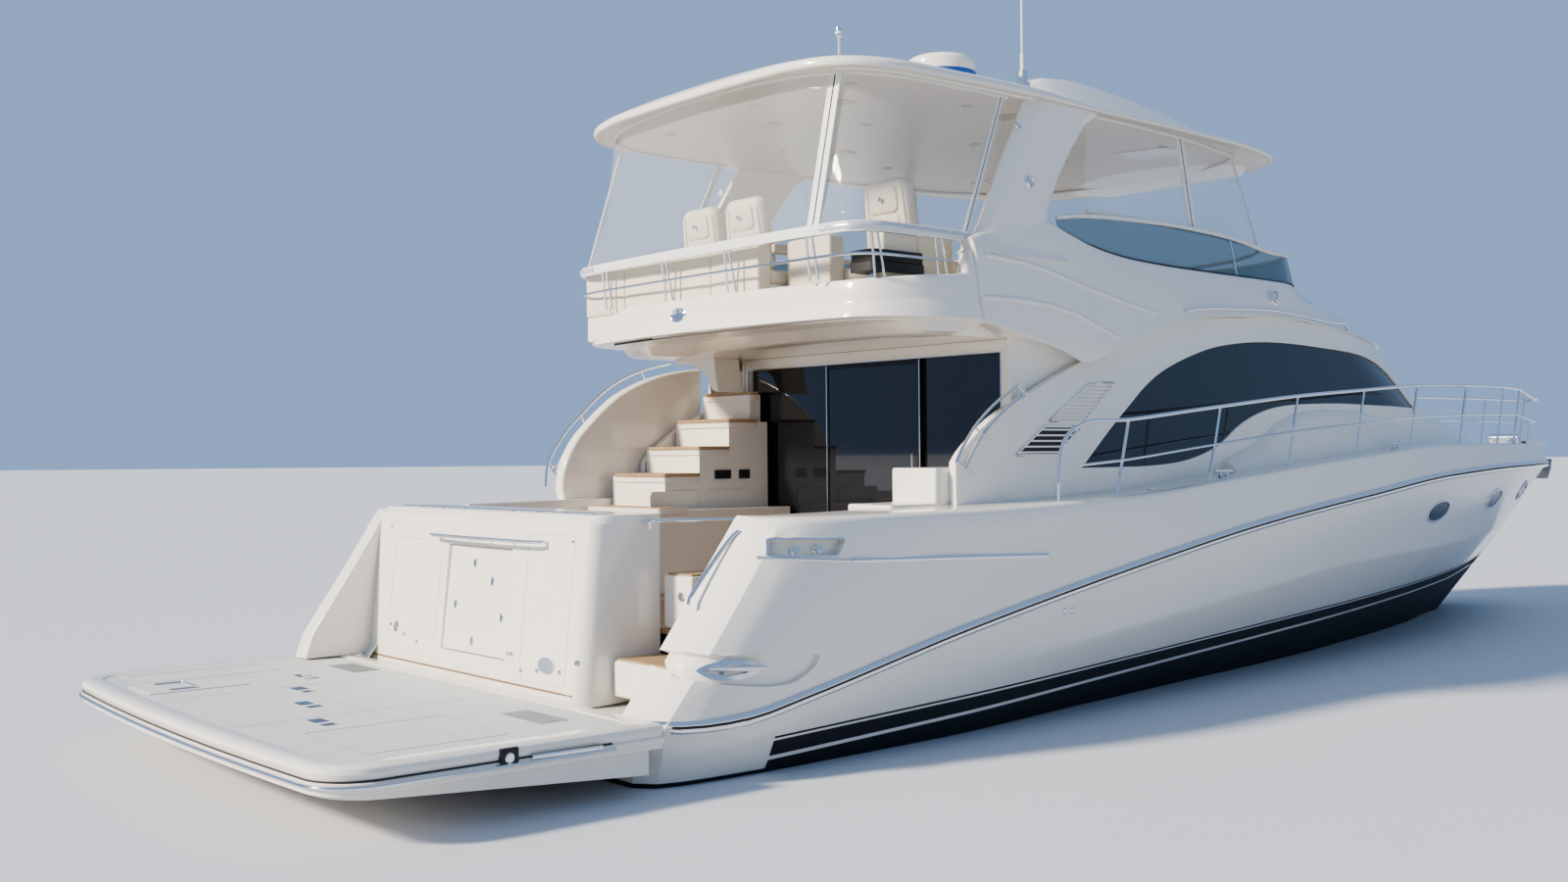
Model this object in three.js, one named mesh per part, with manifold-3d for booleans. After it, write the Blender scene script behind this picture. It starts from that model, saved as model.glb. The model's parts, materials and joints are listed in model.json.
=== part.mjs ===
// A flybridge motor yacht afloat, in millimetres: +X starboard, +Y forward, +Z up.
// The origin is on the centreline, at the waterline, amidships.
import * as THREE from 'three';
import { mergeVertices } from 'three/addons/utils/BufferGeometryUtils.js';
import Module from 'manifold-3d';

const wasm = await Module();
wasm.setup();

// Driving dimensions
const gap = 0.3;
const clearance = 0.45;
const sternY = -7500;
const bowY = 9700;
const soleTop = 870;
const soleThick = 40;
const platformTop = 450;
const platformBottom = 140;
const platformAftY = -9690;
const platformHalf = 2300;
const coamingInner = 1970;
const saloonInner = 1900;
const bulkheadY = -3850;
const bulkheadThick = 100;
const doorTop = 2850;
const wellFrontY = 2200;
const transomTop = 1660;
const transomBackY = -7300;
const transomFrontY = -6750;
const transomStarboard = 1220;
const bridgeFloorTop = 3080;
const bridgeFloorBottom = 2950;
const shaftX = 850;
const shaftRadius = 35;
const propRadius = 350;
const propY = -6450;
const propZ = -950;
const shaftTilt = 0.18;
const rudderY = -6990;
const tabHinge = { x: 1330, y: sternY - 0.4, z: -250 };
const railTube = 16;

const paint = {
  gelcoat: { color: 0xf1ede3, roughness: 0.25, metalness: 0 },
  steel: { color: 0xc9ccd0, roughness: 0.18, metalness: 1 },
  darkGlass: { color: 0x0d1114, roughness: 0.05, metalness: 0 },
  teak: { color: 0x8a5d36, roughness: 0.6, metalness: 0 },
  vinyl: { color: 0xdfe6ea, roughness: 0.1, metalness: 0, transparent: true, opacity: 0.25 },
  tint: { color: 0x3c6f78, roughness: 0.06, metalness: 0, transparent: true, opacity: 0.5 },
  upholstery: { color: 0xe9e1d0, roughness: 0.65, metalness: 0 },
  bronze: { color: 0xa9793c, roughness: 0.35, metalness: 1 },
  engine: { color: 0xd8dad8, roughness: 0.5, metalness: 0.2 },
  rubber: { color: 0x1b1c1e, roughness: 0.8, metalness: 0 },
};

const yacht = new THREE.Group();
const materials = {};
for (const [name, values] of Object.entries(paint)) {
  materials[name] = new THREE.MeshStandardMaterial(values);
}

function toSolid(geometry) {
  const bare = geometry.clone();
  bare.deleteAttribute('normal');
  bare.deleteAttribute('uv');
  const merged = mergeVertices(bare, 1e-3);
  return new wasm.Manifold(new wasm.Mesh({
    numProp: 3,
    vertProperties: merged.attributes.position.array,
    triVerts: new Uint32Array(merged.index.array),
  }));
}

function add(name, solid, material, parent = yacht) {
  const made = solid.getMesh();
  const geometry = new THREE.BufferGeometry();
  geometry.setAttribute('position', new THREE.BufferAttribute(new Float32Array(made.vertProperties), 3));
  geometry.setIndex(new THREE.BufferAttribute(new Uint32Array(made.triVerts), 1));
  geometry.computeVertexNormals();
  const mesh = new THREE.Mesh(geometry, materials[material]);
  mesh.name = name;
  parent.add(mesh);
  return solid;
}

function join(...solids) {
  return solids.reduce((whole, piece) => whole.add(piece));
}

function cut(whole, ...cutters) {
  return cutters.reduce((left, cutter) => left.subtract(cutter), whole);
}

function block(x0, x1, y0, y1, z0, z1) {
  const box = new THREE.BoxGeometry(x1 - x0, y1 - y0, z1 - z0);
  box.translate((x0 + x1) / 2, (y0 + y1) / 2, (z0 + z1) / 2);
  return toSolid(box);
}

// A prism whose outline lies in plan, from height z0 to z1.
function plate(outline, z0, z1) {
  const shape = new THREE.Shape(outline.map(([x, y]) => new THREE.Vector2(x, y)));
  const geometry = new THREE.ExtrudeGeometry(shape, { depth: z1 - z0, bevelEnabled: false });
  geometry.translate(0, 0, z0);
  return toSolid(geometry);
}

// A prism whose outline is a side view, of points (y, z), from x0 to x1.
function sidePlate(outline, x0, x1) {
  const shape = new THREE.Shape(outline.map(([y, z]) => new THREE.Vector2(y, z)));
  const geometry = new THREE.ExtrudeGeometry(shape, { depth: x1 - x0, bevelEnabled: false });
  geometry.applyMatrix4(new THREE.Matrix4().set(0, 0, 1, x0, 1, 0, 0, 0, 0, 1, 0, 0, 0, 0, 0, 1));
  return toSolid(geometry);
}

// A prism whose outline is an end view, of points (x, z), from y0 to y1.
function endPlate(outline, y0, y1) {
  const shape = new THREE.Shape(outline.map(([x, z]) => new THREE.Vector2(x, z)));
  const geometry = new THREE.ExtrudeGeometry(shape, { depth: y1 - y0, bevelEnabled: false });
  geometry.applyMatrix4(new THREE.Matrix4().set(1, 0, 0, 0, 0, 0, -1, y1, 0, 1, 0, 0, 0, 0, 0, 1));
  return toSolid(geometry);
}

function rod(from, to, radius, sides = 8) {
  const a = new THREE.Vector3(...from);
  const b = new THREE.Vector3(...to);
  const geometry = new THREE.CylinderGeometry(radius, radius, a.distanceTo(b), sides);
  geometry.applyQuaternion(new THREE.Quaternion().setFromUnitVectors(
    new THREE.Vector3(0, 1, 0), b.clone().sub(a).normalize()));
  geometry.translate((a.x + b.x) / 2, (a.y + b.y) / 2, (a.z + b.z) / 2);
  return toSolid(geometry);
}

function tube(points, radius, steps, sides = 6) {
  const path = new THREE.CatmullRomCurve3(points.map((p) => new THREE.Vector3(...p)), false, 'centripetal');
  const section = new THREE.Shape();
  for (let i = 0; i < sides; i += 1) {
    const angle = (i / sides) * Math.PI * 2;
    const step = i === 0 ? 'moveTo' : 'lineTo';
    section[step](Math.cos(angle) * radius, Math.sin(angle) * radius);
  }
  return toSolid(new THREE.ExtrudeGeometry(section, { steps, extrudePath: path }));
}

// A skin over closed sections of equal point count, with flat ends; points are (x, y, z).
function loft(sections) {
  const count = sections[0].length;
  const position = sections.flat(2);
  const index = [];
  for (let s = 0; s < sections.length - 1; s += 1) {
    for (let i = 0; i < count; i += 1) {
      const a = s * count + i;
      const b = s * count + ((i + 1) % count);
      index.push(a, b, b + count, a, b + count, a + count);
    }
  }
  const caps = [[0, false], [sections.length - 1, true]];
  for (const [s, turned] of caps) {
    const flat = flatten(sections[s]);
    const triangles = THREE.ShapeUtils.triangulateShape(flat, []);
    const forward = THREE.ShapeUtils.area(flat) > 0;
    for (const [a, b, c] of triangles) {
      const base = s * count;
      if (forward === turned) {
        index.push(base + a, base + b, base + c);
      } else {
        index.push(base + a, base + c, base + b);
      }
    }
  }
  const geometry = new THREE.BufferGeometry();
  geometry.setAttribute('position', new THREE.BufferAttribute(new Float32Array(position), 3));
  geometry.setIndex(index);
  const solid = toSolid(geometry.toNonIndexed());
  return solid.volume() > 0 ? solid : turnedOut(geometry, index);
}

// The same skin with every face turned over.
function turnedOut(geometry, index) {
  const turned = [];
  for (let i = 0; i < index.length; i += 3) turned.push(index[i], index[i + 2], index[i + 1]);
  geometry.setIndex(turned);
  return toSolid(geometry.toNonIndexed());
}

// The section seen along the axis that its face looks along most.
function flatten(section) {
  const normal = [0, 0, 0];
  section.forEach((p, i) => {
    const q = section[(i + 1) % section.length];
    [0, 1, 2].forEach((axis) => {
      const [u, v] = [(axis + 1) % 3, (axis + 2) % 3];
      normal[axis] += p[u] * q[v] - p[v] * q[u];
    });
  });
  const sizes = normal.map(Math.abs);
  const along = sizes.indexOf(Math.max(...sizes));
  return section.map((p) => new THREE.Vector2(p[(along + 1) % 3], p[(along + 2) % 3]));
}

// A half section of (x, y, z) points from the keel or centre outwards, closed by its mirror image.
function bothSides(half) {
  const mirrored = half.filter((p) => Math.abs(p[0]) > 1e-6).map(([x, y, z]) => [-x, y, z]).reverse();
  return [...half, ...mirrored];
}

function mirror(solid) {
  const made = solid.getMesh();
  const position = new Float32Array(made.vertProperties);
  for (let i = 0; i < position.length; i += 3) position[i] = -position[i];
  const triangles = new Uint32Array(made.triVerts);
  for (let i = 0; i < triangles.length; i += 3) {
    [triangles[i + 1], triangles[i + 2]] = [triangles[i + 2], triangles[i + 1]];
  }
  return new wasm.Manifold(new wasm.Mesh({ numProp: 3, vertProperties: position, triVerts: triangles }));
}

function pair(name, solid, material) {
  add(name + '_stbd', solid, material);
  add(name + '_port', mirror(solid), material);
}

// Hull stations: y, keel height, then half breadth and height of chine, crease, rail line and deck edge.
const stations = [
  [sternY, -720, 1950, -60, 1970, 190, 2000, 390, 2030, 1640, -6560],
  [-7400, -726, 2050, -62, 2130, 195, 2165, 385, 2190, 1640, -6463],
  [-7200, -737, 2090, -64, 2210, 205, 2245, 382, 2275, 1641, -6288],
  [-6850, -757, 2110, -66, 2270, 245, 2310, 402, 2335, 1642, -6030],
  [-6450, -778, 2125, -68, 2285, 290, 2335, 480, 2360, 1645, -5791],
  [-5000, -850, 2115, -60, 2330, 460, 2400, 800, 2390, 1650, -4951],
  [-3000, -900, 1880, -50, 2370, 660, 2440, 1160, 2420, 1710, -3000],
  [-1300, -920, 1680, -50, 2370, 840, 2455, 1420, 2430, 1850, -1300],
  [500, -920, 1480, -50, 2310, 990, 2445, 1620, 2420, 1990, 500],
  [2300, -890, 1170, -50, 2160, 1040, 2370, 1785, 2340, 2090, 2300],
  [4300, -780, 760, -50, 1790, 1090, 2130, 1850, 2100, 2100, 4300],
  [5900, -500, 330, -50, 1270, 1120, 1720, 1860, 1690, 2090, 5900],
  [7000, 230, 190, 480, 780, 1130, 1320, 1855, 1290, 2080, 7000],
  [8000, 1000, 130, 1060, 200, 1140, 860, 1840, 830, 2070, 8000],
  [8900, 1430, 60, 1450, 90, 1500, 430, 1820, 410, 2055, 8850],
  [bowY, 1740, 30, 1745, 40, 1760, 60, 1800, 50, 2040, 9400],
];
const station = stations.map((row) => {
  const [y, keelZ, chineX, chineZ, creaseX, creaseZ, railX, railZ, edgeX, edgeZ, edgeY] = row;
  return { y, keelZ, chineX, chineZ, creaseX, creaseZ, railX, railZ, edgeX, edgeZ, edgeY };
});
const deckCamber = 60;

// Which way a station moves when the body grows: the first aft, the last forward.
function endGrowth(i) {
  if (i === 0) return -1;
  return i === stations.length - 1 ? 1 : 0;
}

function hullSolid(grow = 0) {
  return loft(station.map((s, i) => {
    const y = s.y + endGrowth(i) * 2 * grow;
    return bothSides([
      [0, y, s.keelZ],
      [s.chineX + 2 * grow, y, s.chineZ],
      [s.creaseX + 2 * grow, y, s.creaseZ],
      [s.railX + 2 * grow, y, s.railZ + grow],
      [0, y, s.railZ + grow],
    ]);
  }));
}

function deckSolid(grow = 0) {
  return loft(station.map((s, i) => {
    const y = s.y + endGrowth(i) * 2 * grow;
    const edgeY = s.edgeY + endGrowth(i) * 2 * grow;
    return bothSides([
      [0, y, s.railZ + gap - grow],
      [s.railX + 3 * grow, y, s.railZ + gap - grow],
      [s.edgeX + 3 * grow, edgeY, s.edgeZ + grow],
      [s.edgeX * 0.94, edgeY, s.edgeZ + 12 + grow],
      [0, edgeY, s.edgeZ + deckCamber + grow],
    ]);
  }));
}

// Raised moulding ahead of and along the house: y, half breadth at foot and top, height of foot and top.
const trunkStations = [
  [-1250, 2200, 2150, 1800, 1960],
  [-800, 2220, 2110, 1850, 2110],
  [-350, 2230, 2090, 1890, 2330],
  [100, 2230, 2070, 1920, 2450],
  [900, 2210, 2040, 1980, 2490],
  [2200, 2110, 1930, 2040, 2470],
  [3300, 1900, 1700, 2060, 2420],
  [4400, 1600, 1380, 2060, 2340],
  [5500, 1180, 960, 2060, 2250],
  [6500, 740, 540, 2060, 2170],
  [7200, 360, 220, 2050, 2110],
];

function trunkSolid(grow = 0) {
  return loft(trunkStations.map(([y, footX, topX, footZ, topZ]) => bothSides([
    [0, y, footZ],
    [footX + grow, y, footZ],
    [topX + grow, y, topZ + grow],
    [0, y, topZ + 25 + grow],
  ])));
}

// House levels: z, half breadth, aft end, where the round front starts, front on the centreline.
const houseLevels = [
  [1500, 2040, -4660, 1900, 4500],
  [2450, 2030, -4660, 1700, 4300],
  [3060, 1970, -4660, 900, 3400],
  [3300, 1945, -4660, 600, 3000],
];
const frontSteps = 8;

function houseOutline(level, inset, aftInset) {
  const [z, halfX, aftY, roundY, frontY] = level;
  const points = [[halfX - inset, aftY + aftInset, z]];
  for (let i = 0; i <= frontSteps; i += 1) {
    const angle = (i / frontSteps) * (Math.PI / 2);
    const x = (halfX - inset) * Math.cos(angle);
    points.push([x < 1 ? 0 : x, roundY + (frontY - inset - roundY) * Math.sin(angle), z]);
  }
  return bothSides(points);
}

function houseLoft(inset, aftInset, lowZ = 0, highZ = 0) {
  const levels = houseLevels.map((level, i) => {
    const end = i === 0 ? lowZ : i === houseLevels.length - 1 ? highZ : 0;
    return [level[0] + end, ...level.slice(1)];
  });
  return loft(levels.map((level) => houseOutline(level, inset, aftInset)));
}

const houseWall = 70;
const archLine = [
  [-4660, 1990], [-4600, 2060], [-4250, 2320], [-3800, 2520], [-3210, 2760], [-2300, 3060], [-1600, 3200],
  [-690, 3270], [130, 3280], [900, 3220], [1900, 3140], [3400, 3100],
];

// Flybridge stations: y, then half breadth and height of lower edge, crease and coaming top.
const bridgeStations = [
  [-5300, 2060, 3050, 2090, 3170, 1960, 3335],
  [-5150, 2070, 3048, 2096, 3185, 1960, 3350],
  [-4900, 2090, 3045, 2108, 3210, 1960, 3372],
  [-4480, 2110, 3040, 2120, 3240, 1960, 3410],
  [-4440, 2110, 3036, 2120, 3250, 1955, 3660],
  [-3950, 2110, 2955, 2120, 3400, 1950, 3790],
  [-3500, 2110, 2850, 2120, 3390, 1945, 3900],
  [-3210, 2110, 2760, 2115, 3300, 1940, 3830],
  [-2900, 2110, 2863, 2105, 3230, 1935, 3750],
  [-2300, 2090, 3060, 2090, 3180, 1920, 3680],
  [-1600, 2060, 3200, 2060, 3290, 1905, 3660],
  [-690, 2020, 3270, 2010, 3370, 1885, 3655],
  [130, 1990, 3280, 1950, 3400, 1840, 3655],
  [700, 1985, 3236, 1880, 3400, 1545, 3655],
  [1200, 1935, 3196, 1770, 3390, 1020, 3655],
];
const bridgeFront = [
  [1480, 1895, 3174, 1680, 3380, 900, 3600, 3650],
  [2000, 1750, 3136, 1410, 3350, 700, 3500, 3540],
  [2600, 1430, 3121, 1000, 3290, 450, 3360, 3385],
  [3050, 990, 3109, 600, 3220, 280, 3250, 3265],
  [3380, 250, 3101, 180, 3140, 100, 3150, 3155],
];
const bridgeBulge = 260;
const bulgeEndY = -4480;
const bulgeHalf = 2120;
const sternFloorRise = 100;

// How much of the stern's round is left at a station: all of it at the first, none from bulgeEndY on.
function sternShare(y) {
  const [sternRowY] = bridgeStations[0];
  return Math.max(0, (bulgeEndY - y) / (bulgeEndY - sternRowY)) ** 1.5;
}

function bulged(x, y) {
  return y - bridgeBulge * sternShare(y) * (1 - (x / bulgeHalf) ** 2);
}

function bridgeSection(row) {
  const [y, lowX, lowZ, midX, midZ, topX, topZ] = row;
  const wall = 110;
  const bottom = bridgeFloorBottom + sternFloorRise * sternShare(y);
  const floorX = topX - wall - 20;
  const half = [
    [0, bottom],
    [900, bottom],
    [1500, bottom],
    [1870, bottom],
    [1880, Math.max(lowZ, bottom) + 1],
    [lowX, lowZ],
    [midX, midZ],
    [topX, topZ],
    [topX - wall, topZ],
    [floorX, bridgeFloorTop],
    [floorX * 0.8, bridgeFloorTop],
    [floorX * 0.45, bridgeFloorTop],
    [0, bridgeFloorTop],
  ];
  return bothSides(half.map(([x, z]) => [x, bulged(x, y), z]));
}

function bridgeSolid() {
  const shell = loft(bridgeStations.map(bridgeSection));
  const [sternRowY, , , , , , sternTop] = bridgeStations[0];
  const aftWallX = [0, 700, 1300, 1700, 1955];
  const aftWall = loft([0, 100].map((inwards) => bothSides([
    ...aftWallX.map((x) => [x, bulged(x, sternRowY) + inwards, bridgeFloorTop - 10]),
    ...[...aftWallX].reverse().map((x) => [x, bulged(x, sternRowY) + inwards, sternTop]),
  ])));
  const front = loft(bridgeFront.map(([y, lowX, lowZ, midX, midZ, topX, topZ, crownZ]) => bothSides([
    [0, y, lowZ],
    [lowX, y, lowZ],
    [midX, y, midZ],
    [topX, y, topZ],
    [0, y, crownZ],
  ])));
  const [lastY, , , , , , lastZ] = bridgeStations[bridgeStations.length - 1];
  const breast = loft([
    bothSides([[0, lastY - 60, bridgeFloorBottom], [1880, lastY - 60, 3000], [1935, lastY - 60, 3196],
      [1770, lastY - 60, 3390], [1020, lastY - 60, lastZ], [0, lastY - 60, lastZ]]),
    bothSides([[0, 1480, 3174], [1880, 1480, 3174], [1895, 1480, 3176], [1680, 1480, 3380],
      [900, 1480, 3600], [0, 1480, 3650]]),
  ]);
  return join(shell, aftWall, breast, front);
}

// Hardtop stations: y, half breadth, edge height, underside on the centreline, crown.
const roofStations = [
  [-5560, 1200, 4880, 4935, 5010],
  [-5430, 1590, 4862, 4945, 5050],
  [-5150, 1810, 4850, 4955, 5100],
  [-4300, 1900, 4845, 4975, 5165],
  [-2800, 1910, 4845, 4980, 5195],
  [-1200, 1860, 4850, 4975, 5200],
  [-200, 1730, 4870, 4970, 5170],
  [500, 1480, 4900, 4975, 5120],
  [950, 1050, 4935, 4980, 5070],
  [1150, 550, 4960, 4985, 5040],
];

// Raised housing along the middle of the hardtop: y, half breadth, height of its base and top.
const humpStations = [
  [-3300, 700, 5100, 5190],
  [-3050, 950, 5100, 5270],
  [-2450, 1000, 5100, 5360],
  [-1800, 1000, 5100, 5365],
  [-500, 900, 5080, 5290],
  [600, 650, 5030, 5170],
  [950, 450, 5000, 5090],
];

function roofSolid() {
  const hump = loft(humpStations.map(([y, halfX, baseZ, topZ]) => bothSides([
    [0, y, baseZ],
    [halfX + 90, y, baseZ],
    [halfX, y, topZ - 25],
    [halfX * 0.7, y, topZ],
    [0, y, topZ + 15],
  ])));
  return join(hump, roofPlate());
}

function roofPlate() {
  return loft(roofStations.map(([y, halfX, edgeZ, underZ, crownZ]) => bothSides([
    [0, y, underZ],
    [halfX * 0.55, y, underZ - 15],
    [halfX - 60, y, edgeZ + 12],
    [halfX, y, edgeZ + 20],
    [halfX + 15, y, edgeZ + 60],
    [halfX - 60, y, edgeZ + 118],
    [halfX * 0.6, y, crownZ - 45],
    [0, y, crownZ],
  ])));
}

// Hull, deck and platform
const hullWells = [
  block(-coamingInner, coamingInner, -6745, bulkheadY, soleTop - soleThick - gap, 3000),
  block(-saloonInner, saloonInner, bulkheadY - 1, wellFrontY, soleTop - soleThick - gap, 3000),
  block(-1350, 1350, -5800, -3200, -250, 1000),
];
const hullGrown = hullSolid(clearance);
const shaftLine = new THREE.Vector3(0, Math.cos(shaftTilt), Math.sin(shaftTilt));

function onShaft(side, distance) {
  return [side * shaftX, propY + shaftLine.y * distance, propZ + shaftLine.z * distance];
}

const stockBore = 30.6;
const sides = [1, -1];
const stockBores = sides.map((side) => {
  const x = side * shaftX;
  return rod([x, rudderY, -900], [x, rudderY, -150], stockBore, 24);
});
const shaftBores = sides.map((side) => rod(onShaft(side, 1500), onShaft(side, 3100), shaftRadius + 6, 24));
add('hull', cut(hullSolid(), ...hullWells, ...stockBores, ...shaftBores), 'gelcoat');

const walkway = { x0: 1250, x1: 1950 };
const deckRing = cut(
  join(deckSolid(), trunkSolid()),
  ...hullWells,
  block(-coamingInner, transomStarboard + 25, -8000, -6740, 0, 3000),
  block(walkway.x0 - 10, coamingInner, -8000, -7000, 660, 3000),
  block(walkway.x0 - 10, coamingInner, -7001, -6700, soleTop - soleThick - gap, 3000),
);
const anchorWell = [block(-330, 330, 7900, 8600, 2100 - gap, 2300), block(-300, 300, 7930, 8570, 1950, 2300)];
const hatchWell = block(-270, 270, 5280, 5820, 1900, 2400);

// Flat panel of the port quarter, which stands on the platform aft of the module.
const quarterPanel = sidePlate([
  [-7960, platformTop + gap], [-7900, 640], [-7560, 1150], [-7240, 1640], [-6900, 1640], [-6900, platformTop + gap],
], -2200, -coamingInner);
add('deck', join(cut(deckRing, ...anchorWell, hatchWell), quarterPanel), 'gelcoat');
const deckGrown = join(deckSolid(clearance), trunkSolid(clearance));

const railBand = join(...sides.map((side) => loft(station.map((s) => [
  [side * (s.railX - 40), s.y + (s.y === bowY ? 40 : 0), s.railZ - 30],
  [side * (s.railX + 22), s.y + (s.y === bowY ? 60 : 0), s.railZ - 28],
  [side * (s.railX + 34), s.y + (s.y === bowY ? 70 : 0), s.railZ],
  [side * (s.railX + 22), s.y + (s.y === bowY ? 60 : 0), s.railZ + 28],
  [side * (s.railX - 40), s.y + (s.y === bowY ? 40 : 0), s.railZ + 30],
]))));
const railNose = block(-94, 94, bowY - 20, bowY + 70, 1771, 1829);
add('rub_rail', cut(join(railBand, railNose), hullGrown, deckGrown, deckGrown.translate([0.6, 0.6, 0]),
  deckGrown.translate([-0.6, 0.6, 0]),
  block(-3000, 3000, -8000, sternY + 20, 0, 1000)), 'steel');

const platformCrown = 60;
const platformCorner = 330;

function platformOutline(inset) {
  const half = platformHalf - inset;
  const cornerY = platformAftY + inset + platformCrown;
  const radius = platformCorner - inset;
  const points = [[half, sternY - 0.5]];
  for (let i = 0; i <= 6; i += 1) {
    const angle = (i / 6) * (Math.PI / 2);
    points.push([half - radius + radius * Math.cos(angle), cornerY + radius - radius * Math.sin(angle)]);
  }
  for (let i = 1; i <= 4; i += 1) {
    const x = (half - radius) * (1 - i / 4);
    points.push([x, cornerY - platformCrown * (1 - (x / (half - radius)) ** 2)]);
  }
  const port = points.slice(0, -1).map(([x, y]) => [-x, y]).reverse();
  return [...points, ...port];
}

const bracketX = 680;
const bracketSide = [[sternY - 0.5, -250], [sternY - 0.5, 160], [-8900, 240], [-7700, -100]];
const ladderWell = { x0: -1500, x1: -1020, y0: -9460, y1: -8760 };
const wellFloor = 305;
const lidThick = 30;
const underside = [[-7500, 130], [-9900, 298], [-9900, 0], [-7500, 0]];
const ledge = 30;
add('swim_platform', cut(
  join(
    plate(platformOutline(0), 290, platformTop),
    cut(plate(platformOutline(70), platformBottom, 291), sidePlate(underside, -2400, 2400)),
    sidePlate(bracketSide, -bracketX, -bracketX + 80),
    sidePlate(bracketSide, bracketX - 80, bracketX),
  ),
  block(ladderWell.x0, ladderWell.x1, ladderWell.y0, ladderWell.y1, platformTop - lidThick - gap, 500),
  block(ladderWell.x0 + ledge, ladderWell.x1 - ledge,
    ladderWell.y0 + ledge, ladderWell.y1 - ledge, wellFloor, 500),
), 'gelcoat');
add('ladder_lid', block(ladderWell.x0 + 6, ladderWell.x1 - 6, ladderWell.y0 + 6, ladderWell.y1 - 6,
  platformTop - lidThick, platformTop), 'gelcoat');

// Transom module with its locker lid
const hatch = { x0: -750, x1: 190, z0: 610, z1: 1390 };
const lidGap = 6;
const lidSide = [[-7390, hatch.z0], [-7360, hatch.z0], [-7265, hatch.z1], [-7295, hatch.z1]];

// The lid's seat in the module at a height.
function lidFace(z) {
  return -7360 + ((z - hatch.z0) * 95) / (hatch.z1 - hatch.z0) + gap;
}

const moduleLevels = [
  [300, transomBackY - 130],
  [transomTop - 60, transomBackY],
  [transomTop, transomBackY + 60],
];
const moduleCorner = 130;

// Plan of the module at a height, with its starboard after corner rounded.
function moduleOutline([z, aftY]) {
  const points = [[-coamingInner + gap, transomFrontY, z], [-coamingInner + gap, aftY, z]];
  for (let i = 0; i <= 4; i += 1) {
    const angle = (i / 4) * (Math.PI / 2);
    points.push([
      transomStarboard - moduleCorner + moduleCorner * Math.sin(angle),
      aftY + moduleCorner - moduleCorner * Math.cos(angle),
      z,
    ]);
  }
  return [...points, [transomStarboard, transomFrontY, z]];
}

const moduleWhole = loft(moduleLevels.map(moduleOutline));
const moduleBody = cut(
  moduleWhole,
  hullGrown,
  sidePlate([
    [-8000, hatch.z0 - lidGap], [lidFace(hatch.z0 - lidGap), hatch.z0 - lidGap],
    [lidFace(hatch.z1 + lidGap), hatch.z1 + lidGap], [-8000, hatch.z1 + lidGap],
  ], hatch.x0 - lidGap, hatch.x1 + lidGap),
  block(hatch.x0 + ledge, hatch.x1 - ledge, -8000, -6850, hatch.z0 + ledge, hatch.z1 - ledge),
);
add('transom_module', moduleBody, 'gelcoat');
add('transom_lid', sidePlate(lidSide, hatch.x0, hatch.x1), 'gelcoat');
add('transom_rail', cut(join(
  rod([-930, -7400, 1465], [660, -7400, 1465], 15),
  ...[-800, -135, 530].map((x) => rod([x, -7400, 1465], [x, -7290, 1465], 13)),
), moduleWhole.translate([0, -gap, 0])), 'steel');

add('cockpit_sole', block(-coamingInner + gap, coamingInner - gap, -6740, bulkheadY - gap,
  soleTop - soleThick, soleTop), 'teak');
add('saloon_sole', block(-saloonInner + gap, saloonInner - gap, bulkheadY + gap, wellFrontY - gap,
  soleTop - soleThick, soleTop), 'teak');

// Cockpit stairs to the bridge: nose y, height and inner edge of each tread, aft to forward
const treads = [
  [-5900, 1100, -800],
  [-5600, 1340, -800],
  [-5320, 1580, -800],
  [-5030, 1870, -1120],
  [-4650, 2110, -1120],
  [-4310, 2360, -1120],
  [-3980, 2620, -1220],
];
const stairX = { outer: -1940, forwardOuter: -1890, forwardInner: -1455 };
const landing = { noseY: -3650, topZ: 2870, endY: -3275 };
const stairWall = 25;
const stairTop = bridgeFloorBottom - gap;
const stairBlocks = treads.map(([y, z, inner]) => (
  block(stairX.outer, inner, y, bulkheadY - 5, soleTop + gap, z)
));
const topTreadZ = treads[treads.length - 1][1];
stairBlocks.push(
  block(stairX.forwardOuter, stairX.forwardInner, bulkheadY - 6, landing.endY, soleTop + gap, topTreadZ),
  block(stairX.forwardOuter, stairX.forwardInner, landing.noseY, landing.endY, soleTop + gap, landing.topZ),
  block(stairX.forwardInner - stairWall, stairX.forwardInner, bulkheadY - 6, landing.endY, 2000, stairTop),
  block(stairX.forwardOuter + stairWall, stairX.forwardInner,
    landing.endY - stairWall, landing.endY, 2000, stairTop),
);
add('cockpit_stairs', join(...stairBlocks), 'gelcoat');

const wingProfile = [
  [-5460, 1600], [-5500, 1890], [-5380, 2160], [-5170, 2390], [-4730, 2730], [-4160, 2860], [-3900, 2900],
  [-3900, 1600],
];
const bridge = bridgeSolid();
const bridgeDropped = bridge.translate([0, 0, -gap]);
add('stair_wing', cut(sidePlate(wingProfile, -2200, -2060), deckGrown, bridgeDropped), 'gelcoat');
add('side_steps', join(
  block(1500, coamingInner - 5, -5260, -4800, soleTop + gap, 1690),
  block(1500, coamingInner - 5, -4801, -4210, soleTop + gap, 1950),
), 'gelcoat');

// House shell with its windows cut
const windowLine = [
  [-3190, 1930], [-2210, 1940], [-1730, 1985], [-1300, 2100], [-920, 2300], [-440, 2440], [500, 2500],
  [1500, 2495], [2380, 2480], [1880, 2840], [1400, 2975], [500, 3040], [-370, 3055], [-1000, 3010],
  [-1450, 2930], [-2160, 2690], [-2690, 2340],
];

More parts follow.
